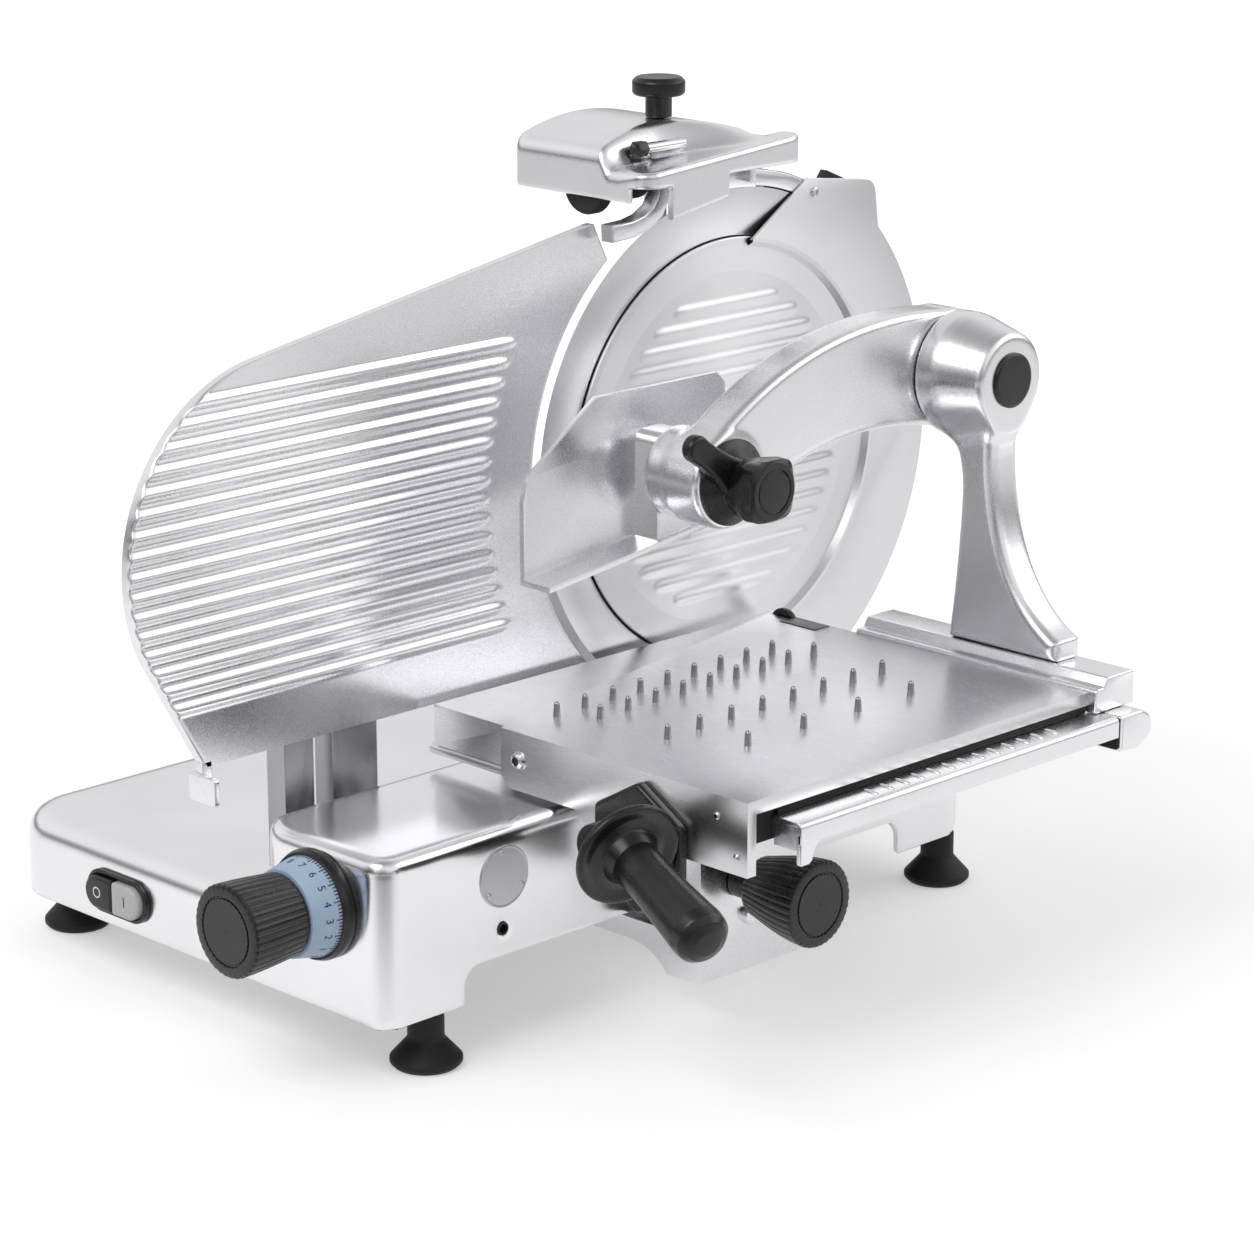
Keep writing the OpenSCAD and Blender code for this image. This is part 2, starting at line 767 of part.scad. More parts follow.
module base_housing() {
    color("silver") difference() {
        union() {
            difference() {
                base_outer();
                base_inner();
            }
            intersection() {
                union() {
                    base_ledge();
                    base_bosses();
                }
                base_outer();
            }
        }
        // Studs of the feet
        for (x = feet_x, y = feet_y)
            rod_z(x, y, [foot_h - over, foot_h + foot_stud_len], foot_stud_r);
        // Arch in the right wall, over the arm of the carriage
        along_x([base_right - base_wall - over, base_right + over])
            even_plan([-base_front + arch_front_leg, base_back - arch_back_leg],
                [foot_h - 2 * arch_r, arch_top], arch_r);
        rod_y(guide_x, [-base_front + base_wall, base_back - base_wall], guide_z, guide_r);
        for (y = gauge_rods_y)
            rod_x([block_gap - over, block_gap + gauge_bush_len + over], y, dial_z, gauge_bush_r);
        rod_y(dial_x, [-base_front - over, cam_y], dial_z, dial_shaft_r + fit);
        along_y([-base_front - over, -base_front + base_wall + over])
            stadium([-switch_x, switch_z], switch_w - 2 * switch_rim, switch_h - 2 * switch_rim);
        rod_x([base_right - base_wall - over, base_right + over], -base_front + 103, 82, wall_hole_r);
        rod_y(gland_x, [base_back - base_wall - over, base_back + over], gland_z, gland_r - 3);
    }
}

module bottom_cover() {
    color("dimgray") translate([0, 0, foot_h]) linear_extrude(bottom_t) difference() {
        plan([-base_left + base_wall + clear, -clear],
            [-base_front + base_wall + clear, base_back - base_wall - clear],
            [low_corner - base_wall, 1, 1, low_corner - base_wall]);
        for (y = feet_y) translate([feet_x[0], y]) circle(boss_r + clear);
    }
}

module rubber_feet() {
    color("black") for (x = feet_x, y = feet_y) translate([x, y, 0]) rotate_extrude()
        polygon([[0, 0], [foot_r - 3, 0], [foot_r, 3], [foot_r, 6], [foot_stem_r + 1, 18], [foot_stem_r, 20],
            [foot_stem_r, foot_h], [foot_stud_r, foot_h], [foot_stud_r, foot_h + foot_stud_len], [0, foot_h + foot_stud_len]]);
}

module button_hole(gap) {
    stadium([-switch_x, switch_z], switch_w - 2 * switch_rim - 2 * gap, switch_h - 2 * switch_rim - 2 * gap);
}

module switch_bezel() {
    color("black") along_y([-base_front - switch_bezel_t, -base_front]) difference() {
        stadium([-switch_x, switch_z], switch_w, switch_h);
        button_hole(0);
    }
}

module switch_block() {
    w = switch_w - 4 * switch_rim;
    color("dimgray") box([-switch_x - w / 2, -switch_x + w / 2],
        [-base_front + base_wall, -base_front + base_wall + 22],
        [switch_z - switch_h / 2, switch_z + switch_h / 2]);
}

// Half of the oval, free to sink into the bezel
module button(x) {
    back_y = -base_front + base_wall - button_travel - clear;
    along_y([-base_front - switch_bezel_t - button_out, back_y]) intersection() {
        button_hole(button_gap);
        translate([x[0], switch_z - switch_h]) square([x[1] - x[0], 2 * switch_h]);
    }
}

module on_button() {
    color("gainsboro") button([-switch_x + button_gap / 2, -switch_x + switch_w]);
}

module off_button() {
    color("black") button([-switch_x - switch_w, -switch_x - button_gap / 2]);
}

module dial_bezel() {
    color("black") turned_y(dial_x, dial_z) polygon([[dial_shaft_r + clear, -base_front],
        [dial_bezel_r, -base_front], [dial_bezel_r, -base_front - dial_bezel_t + 2],
        [dial_bezel_r - 2, -base_front - dial_bezel_t], [scale_r + clear, -base_front - dial_bezel_t],
        [scale_r + clear, -base_front - 3], [dial_shaft_r + clear, -base_front - 3]]);
}

module dial_scale() {
    back_y = -base_front - 3 - clear;
    color("lightsteelblue") turned_y(dial_x, dial_z) polygon([[dial_shaft_r, back_y], [scale_r, back_y],
        [scale_r, back_y - 4], [scale_end_r, dial_front_y], [dial_shaft_r, dial_front_y]]);
}

module dial_knob() {
    color("black") translate([dial_x, dial_front_y, dial_z]) rotate([90, 0, 0])
        fluted_grip(dial_back_r, dial_knob_r, dial_knob_len, flute_count);
}

module dial_shaft() {
    color("silver") rod_y(dial_x, [dial_front_y, cam_y], dial_z, dial_shaft_r);
}

// Edge of the spiral groove
function groove_point(turn, side) = let (r = groove_start + gauge_open * turn / dial_turn
    + side * (follower_r + groove_gap), a = 180 - turn) [r * cos(a), r * sin(a)];

module thickness_cam() {
    groove_steps = 40;
    color("darkgray") difference() {
        rod_y(dial_x, [cam_y, cam_y + cam_t], dial_z, cam_r);
        translate([dial_x, 0, dial_z]) along_y([cam_y + cam_t - groove_depth, cam_y + cam_t + over]) {
            polygon(concat(
                [for (i = [0:groove_steps]) groove_point(i * dial_turn / groove_steps, 1)],
                [for (i = [groove_steps:-1:0]) groove_point(i * dial_turn / groove_steps, -1)]));
            for (turn = [0, dial_turn])
                translate(groove_point(turn, 0)) circle(follower_r + groove_gap);
        }
    }
}

module cam_follower() {
    size = gauge_rod_r + 4;
    color("goldenrod") {
        difference() {
            box([follower_x - size, follower_x + size], [-gauge_rod_y - size, -gauge_rod_y + size],
                [dial_z - size, dial_z + size]);
            rod_x([follower_x - size - over, follower_x + size + over], -gauge_rod_y, dial_z, gauge_rod_r);
        }
        rod_y(follower_x, [cam_y + cam_t - groove_depth + 1, -gauge_rod_y - size], dial_z, follower_r);
    }
}

module gauge_outline() {
    slope = atan2(gauge_top_z - (knife_z + gauge_nose_r), gauge_nose_y + gauge_reach);
    difference() {
        union() {
            translate([gauge_nose_y, knife_z]) circle(gauge_nose_r);
            polygon([[gauge_nose_y - gauge_nose_r * cos(25), knife_z - gauge_nose_r * sin(25)],
                [-gauge_toe_y, gauge_bottom_z], [0, gauge_bottom_z], [0, knife_z],
                [-gauge_top_y + 13, gauge_top_z - 26], [-gauge_top_y, gauge_top_z],
                [gauge_nose_y - gauge_nose_r * sin(9), knife_z + gauge_nose_r * cos(9)]]);
        }
        translate([0, knife_z]) circle(gauge_arc_r);
    }
}

// A rounded ridge along y with its crest at x
module ridge(y, z, crest) {
    r = (rib_w * rib_w / 4 + rib_h * rib_h) / (2 * rib_h);
    intersection() {
        union() {
            rod_y(crest - r, y, z, r);
            for (end = y) translate([crest - r, end, z]) sphere(r);
        }
        box([crest - 2 * rib_h, crest + over], [y[0] - 2 * r, y[1] + 2 * r], [z - r - over, z + r + over]);
    }
}

module gauge_plate() {
    color("silver") {
        along_x([-gauge_t, -rib_h]) gauge_outline();
        intersection() {
            along_x([-gauge_t / 2, over]) gauge_outline();
            union() for (i = [0:gauge_rib_count - 1]) {
                z = gauge_rib_z + i * rib_pitch;
                rib_end_r = knife_r + rib_end_gap;
                ridge([-gauge_reach, -sqrt(pow(rib_end_r, 2) - pow(z - knife_z, 2))], z, 0);
            }
        }
        box([-gauge_t - tab_w, -gauge_t / 2], [-gauge_toe_y + 12, -gauge_toe_y + 12 + tab_t],
            [gauge_bottom_z - tab_h, gauge_bottom_z + tab_t]);
    }
}

module gauge_carrier() {
    bottom = low_top + 2;
    top = gauge_bottom_z + post_rise;
    posts = [[gauge_rods_y[0] - post_w / 2, gauge_rods_y[0] + post_w / 2],
             [gauge_rods_y[1] - panel_w / 2, gauge_rods_y[1] + panel_w / 2]];
    color("darkgray") difference() {
        union() {
            for (y = posts) box([carrier_x, -gauge_t], y, [bottom, top]);
            box([carrier_x, -gauge_t], [posts[0][0], posts[1][1]], [gauge_bottom_z + 20, top]);
        }
        for (y = gauge_rods_y) rod_x([carrier_x - over, -gauge_t + over], y, dial_z, gauge_rod_r);
    }
}

module gauge_rods() {
    color("gainsboro") for (y = gauge_rods_y)
        rod_x([carrier_x, follower_x + gauge_rod_r + 4], y, dial_z, gauge_rod_r);
}

module gauge_bushes() {
    color("goldenrod") for (y = gauge_rods_y) difference() {
        rod_x([block_gap, block_gap + gauge_bush_len], y, dial_z, gauge_bush_r);
        rod_x([block_gap - over, block_gap + gauge_bush_len + over], y, dial_z, gauge_rod_r + fit);
    }
}

module rating_plate() {
    y = -base_front + 104;
    z = block_top - 32.5;
    color("whitesmoke") {
        rod_x([base_right, base_right + plate_t], y, z, plate_r);
        for (s = [-1, 1]) translate([base_right + plate_t, y + s * (plate_r - 3.5), z]) sphere(1.6);
    }
}

module cable_gland() {
    inner_y = base_back - base_wall - 6;
    color("black") difference() {
        union() {
            rod_y(gland_x, [inner_y, base_back], gland_z, gland_r - 3);
            rod_y(gland_x, [base_back, base_back + 9], gland_z, gland_r);
            rod_y(gland_x, [base_back + 9, base_back + 22], gland_z, gland_r - 3);
        }
        rod_y(gland_x, [inner_y - over, base_back + 23], gland_z, cord_r);
    }
}

module knife_profile() {
    d = knife_dish;
    t = knife_t;
    slant = 5;
    polygon([[knife_bore_r, -d], [band_r - slant, -d], [band_r, -knife_t], [knife_r, 0], [knife_r, -edge_t],
        [knife_r - knife_bevel, -knife_t], [band_r, -2 * knife_t], [band_r - slant, -d - t],
        [knife_bore_r, -d - t]]);
}

module knife_screw_holes(x, r) {
    for (i = [0:knife_screw_count - 1]) let (a = i * 360 / knife_screw_count + 45)
        rod_x(x, knife_screw_circle_r * cos(a), knife_z + knife_screw_circle_r * sin(a), r);
}

module knife() {
    color("gainsboro") difference() {
        turned_x(0, knife_z) knife_profile();
        knife_screw_holes([knife_back_x - over, 0], knife_screw_r);
    }
}

module knife_flange() {
    color("gray") difference() {
        union() {
            rod_x([flange_back_x, knife_back_x], 0, knife_z, knife_flange_r);
            rod_x([knife_back_x - over, -knife_dish], 0, knife_z, knife_bore_r);
        }
        rod_x([flange_back_x - over, 0], 0, knife_z, shaft_r);
        knife_screw_holes([flange_back_x - over, 0], knife_screw_r);
    }
}

module knife_screws() {
    color("gainsboro") knife_screw_holes([flange_back_x, -knife_dish], knife_screw_r);
}

module knife_shaft() {
    color("gainsboro") difference() {
        rod_x([shaft_end_x, -knife_dish], 0, knife_z, shaft_r);
        rod_x([shaft_end_x - over, 0], 0, knife_z, shaft_hole_r);
    }
}

// A pulley with three V grooves
module pulley(y, z, r, bore) {
    groove = 3;
    color("dimgray") difference() {
        rod_x([pulley_x - pulley_w, pulley_x], y, z, r);
        rod_x([pulley_x - pulley_w - over, pulley_x + over], y, z, bore);
        for (i = [-1:1]) turned_x(y, z) translate([r, pulley_x - pulley_w / 2 + i * groove * 1.5])
            polygon([[over, -groove / 2], [-groove / 2, 0], [over, groove / 2]]);
    }
}

module knife_pulley() {
    pulley(0, knife_z, knife_pulley_r, shaft_r);
}

module motor_pulley() {
    pulley(motor_y, motor_z, motor_pulley_r, motor_shaft_r);
}

module knife_bearings() {
    color("silver") for (x = [bearing_front_x - bearing_w, bearing_back_x]) difference() {
        rod_x([x, x + bearing_w], 0, knife_z, bearing_r);
        rod_x([x - over, x + bearing_w + over], 0, knife_z, shaft_r + fit);
    }
}

// Outline of a belt round the two pulleys
module belt_loop(gap) {
    hull() {
        translate([0, knife_z]) circle(knife_pulley_r + gap);
        translate([motor_y, motor_z]) circle(motor_pulley_r + gap);
    }
}

module drive_belt() {
    color("black") along_x([pulley_x - pulley_w + 2, pulley_x - 2]) difference() {
        belt_loop(belt_gap + belt_t);
        belt_loop(belt_gap);
    }
}

// Outline of the housing, drawn in by a wall
module housing_outline(w) {
    foot = [housing_foot_y - housing_foot_w + w, housing_foot_y + housing_foot_w - w];
    shoulder_z = low_top + 128;
    head = housing_head_r - w;
    translate([0, knife_z]) circle(head);
    polygon([[foot[0], low_top + w], [foot[1], low_top + w], [foot[1] - 8, shoulder_z],
        [head * cos(20), knife_z + head * sin(20)], [-head * cos(20), knife_z + head * sin(20)],
        [foot[0] + 8, shoulder_z]]);
}

// Half disc that shields the back half of the knife
module shield_outline(r) {
    intersection() {
        translate([0, knife_z]) circle(r);
        translate([sharp_back + 10, guard_bottom_z - 15]) square([2 * knife_r, 2 * knife_r + 60]);
    }
}

module knife_housing() {
    shield_r = knife_r + shield_gap;
    post_z = [knife_z + 10, knife_z + housing_head_r + 20];
    color("silver") difference() {
        union() {
            along_x([housing_inner_x, housing_x]) {
                housing_outline(0);
                shield_outline(shield_r + shield_t);
            }
            along_x([housing_inner_x, -over]) difference() {
                shield_outline(shield_r + shield_t);
                translate([0, knife_z]) circle(shield_r);
            }
            along_x([housing_back_x, housing_x]) difference() {
                housing_outline(0);
                housing_outline(housing_rim);
            }
            rod_x([bearing_back_x, housing_x], 0, knife_z, bearing_r + 7);
            box([-post_x - post_r - 5, housing_x], [-post_y - post_r - 5, -post_y + post_r + 5], post_z);
        }
        rod_x([bearing_back_x - over, bearing_front_x], 0, knife_z, bearing_r);
        rod_x([bearing_front_x - over, 0], 0, knife_z, shaft_r + 3);
        rod_z(-post_x, -post_y, [post_z[0] + 20, post_z[1] + over], post_r);
    }
}

module belt_cover() {
    color("silver") along_x([belt_cover_x, housing_back_x]) difference() {
        housing_outline(0);
        translate([0, knife_z]) circle(tie_r + 1);
        translate([motor_y, motor_z]) circle(motor_shaft_r + 3);
    }
}

// Guard flange with the ear at its top
ear = [for (e = [[0.046, 0.681], [0.367, 0.889], [0.717, 0.845], [0.686, 0.686], [0.193, 0.483]])
    [e[0] * guard_r, knife_z + e[1] * guard_r]];
module guard_outline() {
    difference() {
        union() {
            intersection() {
                translate([0, knife_z]) circle(guard_r);
                polygon([ear[0], ear[1], [guard_r + over, ear[1][1]], [guard_r + over, guard_bottom_z],
                    [0, guard_bottom_z], [0, knife_z]]);
            }
            polygon(ear);
        }
        translate([0, knife_z]) circle(band_r - cover_gap - 2);
    }
}

module knife_cover() {
    rim_r = band_r - cover_gap;
    flat_r = rim_r - cover_ring;
    front = -0.6;
    sunk = front - rib_h;
    step_r = [rim_r - 8, rim_r - 0.5];
    rows = floor((flat_r - 14) / rib_pitch);
    color("silver") difference() {
        union() {
            turned_x(0, knife_z) polygon([[0, sunk - cover_t], [flat_r, sunk - cover_t],
                [rim_r, front - cover_t], [rim_r, front], [rim_r - 4, front], [flat_r, sunk], [0, sunk]]);
            for (i = [-rows:rows]) {
                z = i * rib_pitch;
                half = sqrt(pow(flat_r - 10, 2) - z * z);
                ridge([-half, half], knife_z + z, front);
            }
            // Step from the cover rim out to the guard flange
            intersection() {
                turned_x(0, knife_z) polygon([[step_r[0], front - cover_t / 2], [step_r[1], front - cover_t / 2],
                    [step_r[1], guard_gap + guard_t], [step_r[1] - 3, guard_gap + guard_t]]);
                along_x([-knife_dish, guard_gap + guard_t + over])
                    polygon([ear[0], [ear[0][0], knife_z + guard_r], [guard_r, knife_z + guard_r],
                        [guard_r, guard_bottom_z], [0, guard_bottom_z], [0, knife_z]]);
            }
            along_x([guard_gap, guard_gap + guard_t - 0.2]) guard_outline();
        }
        rod_x([-knife_dish, over], 0, knife_z, tie_r);
    }
}

module cover_tie_rod() {
    color("gainsboro") rod_x([belt_cover_x - tie_knob_len + 4, -2.4], 0, knife_z, tie_r);
}

module cover_knob() {
    color("black") difference() {
        translate([belt_cover_x - clear, 0, knife_z]) rotate([0, -90, 0])
            fluted_grip(tie_knob_r - 2, tie_knob_r, tie_knob_len, 12);
        rod_x([belt_cover_x - tie_knob_len + 4 - fit, belt_cover_x + over], 0, knife_z, tie_r + fit);
    }
}

module motor_body() {
    x = [motor_front_x - motor_len, motor_front_x];
    color("gray") difference() {
        union() {
            rod_x(x, motor_y, motor_z, motor_r);
            box([x[0] + 15, x[1] - 15], [motor_y - motor_r * 0.8, motor_y + motor_r * 0.8],
                [low_top, motor_z - motor_r / 2]);
        }
        rod_x([x[1] - 30, x[1] + over], motor_y, motor_z, motor_shaft_r + fit);
    }
}

module motor_shaft() {
    color("gainsboro") rod_x([motor_front_x - 29, pulley_x], motor_y, motor_z, motor_shaft_r);
}

module motor_cover() {
    reach = motor_r + motor_cover_gap + motor_cover_wall;
    x = [motor_front_x - motor_len - motor_cover_gap - motor_cover_wall, belt_cover_x];
    vent_r = 2;
    color("silver") difference() {
        soft_slab(x, [motor_y - reach, motor_y + reach], [low_top, motor_z + reach], [12, 1, 1, 12], 12);
        soft_slab([x[0] + motor_cover_wall, x[1] + 20],
            [motor_y - reach + motor_cover_wall, motor_y + reach - motor_cover_wall],
            [low_top - over, motor_z + reach - motor_cover_wall], [9, 1, 1, 9], 9);
        for (i = [-3:3]) along_x([x[0] - over, x[0] + motor_cover_wall + over])
            stadium([motor_y, motor_z + i * 5 * vent_r], motor_r, 2 * vent_r);
    }
}

module guide_rod() {
    color("gainsboro") rod_y(guide_x, [-base_front + base_wall, base_back - base_wall], guide_z, guide_r);
}

// Carriage from the guide rod round to the feed rods
module carriage_support() {
    y = [-carriage_y - carriage_len / 2, -carriage_y + carriage_len / 2];
    shoe_r = 8;
    leg_x = carriage_x - upright_t;
    arm_end = [leg_x - 35, carriage_arm_z];
    color("silver") difference() {
        union() {
            along_y(y) difference() {
                union() {
                    plan([guide_x - shoe_w, guide_x + shoe_w], [carriage_arm_z, guide_z + shoe_h],
                        [shoe_r, 1, shoe_r, shoe_r]);
                    polygon(concat([[guide_x, carriage_arm_z]],
                        curve(arm_end, [leg_x - 12, carriage_arm_z], [leg_x, carriage_z], 8),
                        [[carriage_x, carriage_z], [carriage_x, carriage_arm_z + carriage_arm_t],
                         [guide_x, carriage_arm_z + carriage_arm_t]]));
                    translate([leg_x, carriage_z]) square([upright_t, head_z[0] - carriage_z + over]);
                }
                translate([guide_x, guide_z]) circle(guide_bush_r);
            }
            box(head_x, [-carriage_y - head_len / 2, -carriage_y + head_len / 2], head_z);
            rod_x([carriage_x - over, carriage_x + 5], -lock_knob_y + 8, lock_knob_z - 27, stud_r);
        }
        for (ry = feed_rods_y) rod_x([head_x[0] - over, head_x[1] + over], ry, feed_z, feed_rod_r + 3);
        rod_x([carriage_x - 20, carriage_x + over], -lock_knob_y, lock_knob_z, 6 + fit);
    }
}

module guide_bushes() {
    y = [-carriage_y - carriage_len / 2, -carriage_y + carriage_len / 2];
    bush_len = 30;
    color("goldenrod") for (s = [y[0], y[1] - bush_len]) difference() {
        rod_y(guide_x, [s, s + bush_len], guide_z, guide_bush_r);
        rod_y(guide_x, [s - over, s + bush_len + over], guide_z, guide_r + fit);
    }
}

module feed_bushes() {
    color("goldenrod") for (y = feed_rods_y) difference() {
        rod_x(head_x, y, feed_z, feed_rod_r + 3);
        rod_x([head_x[0] - over, head_x[1] + over], y, feed_z, feed_rod_r + fit);
    }
}

module lock_knob() {
    collar_x = carriage_x + lock_collar_len;
    color("black") {
        rod_x([carriage_x - 19, carriage_x + over], -lock_knob_y, lock_knob_z, 6);
        rod_x([carriage_x + clear, collar_x + over], -lock_knob_y, lock_knob_z, 12);
        translate([collar_x, -lock_knob_y, lock_knob_z]) rotate([0, 90, 0])
            fluted_grip(lock_back_r, lock_knob_r, lock_knob_len, flute_count);
    }
}

// Front apron of the table: deeper to the right of the base
module apron_outline() {
    step_x = base_right + 12;
    polygon([[strip_right, table_z], [table_right, table_z], [table_right, table_z - apron_h - apron_drop],
        [step_x + 10, table_z - apron_h - apron_drop], [step_x, table_z - apron_h],
        [strip_right + 8, table_z - apron_h], [strip_right, table_z - apron_h + 8]]);
}

module meat_table() {
    sheet_z = [table_under_z, table_z];
    strip_y = -table_front + strip_back;
    holder_y = [feed_rods_y[0] - feed_rod_r - 6, feed_rods_y[1] + feed_rod_r + 6];
    color("gainsboro") difference() {
        union() {
            box([strip_right, table_right], [-table_front, table_back], sheet_z);
            box([table_gap, strip_right + over], [strip_y, table_back], sheet_z);
            along_y([-table_front, -table_front + sheet_t]) apron_outline();
            box([table_gap, strip_right + over], [strip_y, strip_y + sheet_t], [table_z - strip_h, table_z]);
            box([table_gap, table_gap + sheet_t], [strip_y, table_back], [table_z - lip_h, table_z]);
            box([table_right - sheet_t, table_right], [-table_front, table_back], [table_z - lip_h, table_z]);
            box([table_right - sheet_t, table_right], [-table_front, -table_front + return_w],
                [table_z - apron_h - apron_drop, table_z]);
            box([table_gap, table_right], [table_back - sheet_t, table_back], [table_z - lip_h, table_z]);
            for (x = [holder_left, holder_right])
                box(x, holder_y, [feed_z - feed_rod_r - 5, table_under_z + over]);
            box([strip_right + 3, strip_right + 30], [-table_front + over, -table_front + 16],
                [table_z - apron_h + 2, table_under_z + over]);
        }
        for (x = [holder_left, holder_right], y = feed_rods_y)
            rod_x([x[0] - over, x[1] + over], y, feed_z, feed_rod_r);
        rod_x([strip_right + 2, strip_right + 31], stop_rod_y, stop_rod_z, stop_rod_r);
        strip_notch();
    }
}

// Notch in the back edge of the strip
module strip_notch() {
    left = table_gap + 2 * sheet_t;
    box([left, left + notch_w], [table_back - notch_d, table_back + over], [table_z - 2 * lip_h, table_z + over]);
}

// Rows of spikes in steps: from the strip, from the front, between spikes; and their number
spike_rows = [[0.31, 1.67, 1, 9], [1.23, 2.31, 1, 9], [3.62, 2.31, 1.15, 8], [5.42, 3.31, 2.04, 4]];

module table_spikes() {
    tip_r = 1.2;
    color("silver") for (row = spike_rows, i = [0:row[3] - 1])
        translate([strip_right + row[0] * spike_pitch,
            (row[1] + i * row[2]) * spike_pitch - table_front, table_z])
            cylinder(r1 = spike_r, r2 = tip_r, h = spike_h);
}

module feed_rods() {
    color("gainsboro") for (y = feed_rods_y) rod_x([holder_left[0], holder_right[1]], y, feed_z, feed_rod_r);
}

module stop_rod() {
    color("gainsboro") rod_x([stop_rod_gap, strip_right + 30], stop_rod_y, stop_rod_z, stop_rod_r);
}

module apron_screw() {
    color("silver") {
        turned_y(strip_right + 17, table_z - 19) polygon([[0, -table_front], [apron_screw_r, -table_front],
            [apron_screw_r, -table_front - 1.5], [apron_screw_r - 2, -table_front - 3.5],
            [2.5, -table_front - 3.5], [2.5, -table_front - 1.5], [0, -table_front - 1.5]]);
        for (c = [[-26, 14], [-9, 37.5]])
            rod_y(table_right + c[0], [-table_front - 1.5, -table_front], table_z - c[1], small_screw_r);
    }
}

module handle_plate() {
    y = [-table_front - handle_plate_t, -table_front];
    color("black") along_y(y) translate([handle_x, handle_z]) rotate(30) circle(handle_plate_r, $fn = 6);
}

// Elbow on the plate, then the guard and grip on their heading
module handle_grip() {
    tip = handle_len - handle_r;
    neck_s = hand_guard_t + 10;
    color("black") {
        rod_y(handle_guard[0] - 19, [handle_guard[1] - 10, -table_front - handle_plate_t], handle_guard[2], 15);
        translate(handle_guard) rotate([0, 0, handle_yaw - 90]) rotate([0, 90 + handle_slope, 0]) {
            translate([0, 0, -16]) cylinder(r1 = 13, r2 = hand_guard_r - 6, h = 16);
            cylinder(r = hand_guard_r, h = hand_guard_t);
            cylinder(r1 = hand_guard_r * 0.6, r2 = handle_neck_r, h = neck_s + 2);
            translate([0, 0, neck_s]) cylinder(r1 = handle_neck_r, r2 = handle_r, h = tip - neck_s);
            translate([0, 0, tip]) sphere(handle_r);
        }
    }
}

module table_rail() {
    bottom = table_z - rail_drop;
    color("silver") along_x([rail_left, grip_x[1] - 15]) polygon([[rail_y[0], bottom], [rail_y[1], bottom],
        [rail_y[1], rail_top_z - 2], [rail_y[1] - 2, rail_top_z], [rail_y[0] + 12, rail_top_z],
        [rail_y[0] + 8, table_z + 3], [rail_y[0] + 2, table_z + 3], [rail_y[0], table_z + 1]]);
}

module press_column() {
    foot_x = [column_x[0] + 14, column_x[0] + 14 + column_foot_w];
    waist_x = [column_x[1] - 2 - column_waist, column_x[1] - 2];
    waist_z = pivot_z - 80;
    y = [pivot_y - column_t / 2, pivot_y + column_t / 2];
    left = curve([foot_x[0], rail_top_z], [foot_x[0] + 11, waist_z - 40], [waist_x[0], waist_z], 8);
    left_top = curve([waist_x[0], waist_z], [waist_x[0], waist_z + 34], [column_x[0] + 6, pivot_z - 30], 6);
    right = curve([waist_x[1] + 8, waist_z - 24], [waist_x[1] + 22, rail_top_z + 34], [foot_x[1], rail_top_z + 14], 8);
    color("silver") difference() {
        union() {
            along_y(y) polygon(concat(left, left_top, [[column_x[0] + 6, pivot_z], [waist_x[1], pivot_z],
                [waist_x[1], waist_z + 6]], right, [[foot_x[1], rail_top_z]]));
            turned_x(pivot_y, pivot_z) polygon([[0, column_x[0]], [column_head_r, column_x[0]],
                [column_head_r, column_x[0] + 18], [column_end_r, column_x[1] - 4],
                [column_end_r - 3, column_x[1]], [0, column_x[1]]]);
        }
        rod_x([column_x[0] - over, column_x[1] - 6], pivot_y, pivot_z, pivot_pin_r + fit);
    }
}

module column_cap() {
    color("black") turned_x(pivot_y, pivot_z) polygon([[0, column_x[1]], [column_cap_r, column_x[1]],
        [column_cap_r, column_x[1] + 1], [column_cap_r - 2, column_x[1] + 2.5], [0, column_x[1] + 2.5]]);
}

module press_arm() {
    x = [arm_x - arm_t, arm_x];
    back_r = column_head_r;
    top = curve([hub_y - hub_r * 0.8, hub_z + hub_r * 0.6], [hub_y + 70, pivot_z + back_r + 16],
        [pivot_y - 4, pivot_z + back_r - 1], 12);
    under = curve([pivot_y, pivot_z - back_r + 1], [hub_y + 110, pivot_z - back_r + 28],
        [hub_y + hub_r * 0.75, hub_z - hub_r * 0.6], 12);
    color("silver") difference() {
        union() {
            along_x(x) polygon(concat(top, under, [[hub_y, hub_z]]));
            rod_x(x, pivot_y, pivot_z, back_r);
            rod_x([arm_x - hub_len, arm_x], hub_y, hub_z, hub_r);
            rod_x([arm_x - over, column_x[1] - 7], pivot_y, pivot_z, pivot_pin_r);
        }
        rod_x([arm_x - hub_len - over, arm_x + over], hub_y, hub_z, press_shaft_r + fit);
    }
}

module press_plate() {
    wall = [press_x - press_t / 2, press_x + press_t / 2];
    bracket_x = [wall[1] - 0.2, arm_x - hub_len - clear];
    rise = tan(press_slope);
    front_z = hub_z - press_down - press_front * rise * 0.5;
    back_z = hub_z - press_down + press_back * rise * 1.2;
    color("silver") {
        along_x(wall) polygon([[hub_y - press_front, front_z], [hub_y + press_back, back_z],
            [hub_y + press_back, hub_z + press_up - 8], [hub_y + press_back - 8, hub_z + press_up],
            [hub_y - press_front + press_cut + 6, hub_z + press_up],
            [hub_y - press_front + 4, hub_z + press_up - press_cut * 0.74],
            [hub_y - press_front, hub_z + press_up - press_cut]]);
        along_x([wall[0], wall[1] + press_flange_w]) polygon([[hub_y - press_front, front_z],
            [hub_y + press_back, back_z], [hub_y + press_back, back_z + press_t],
            [hub_y - press_front, front_z + press_t]]);
        along_x(bracket_x) plan([hub_y - press_rib_t, hub_y + press_rib_t], [hub_z - press_down + 2, hub_z + 26],
            [1, 1, 8, 8]);
        rod_x([bracket_x[0], arm_x + 12], hub_y, hub_z, press_shaft_r);
    }
}

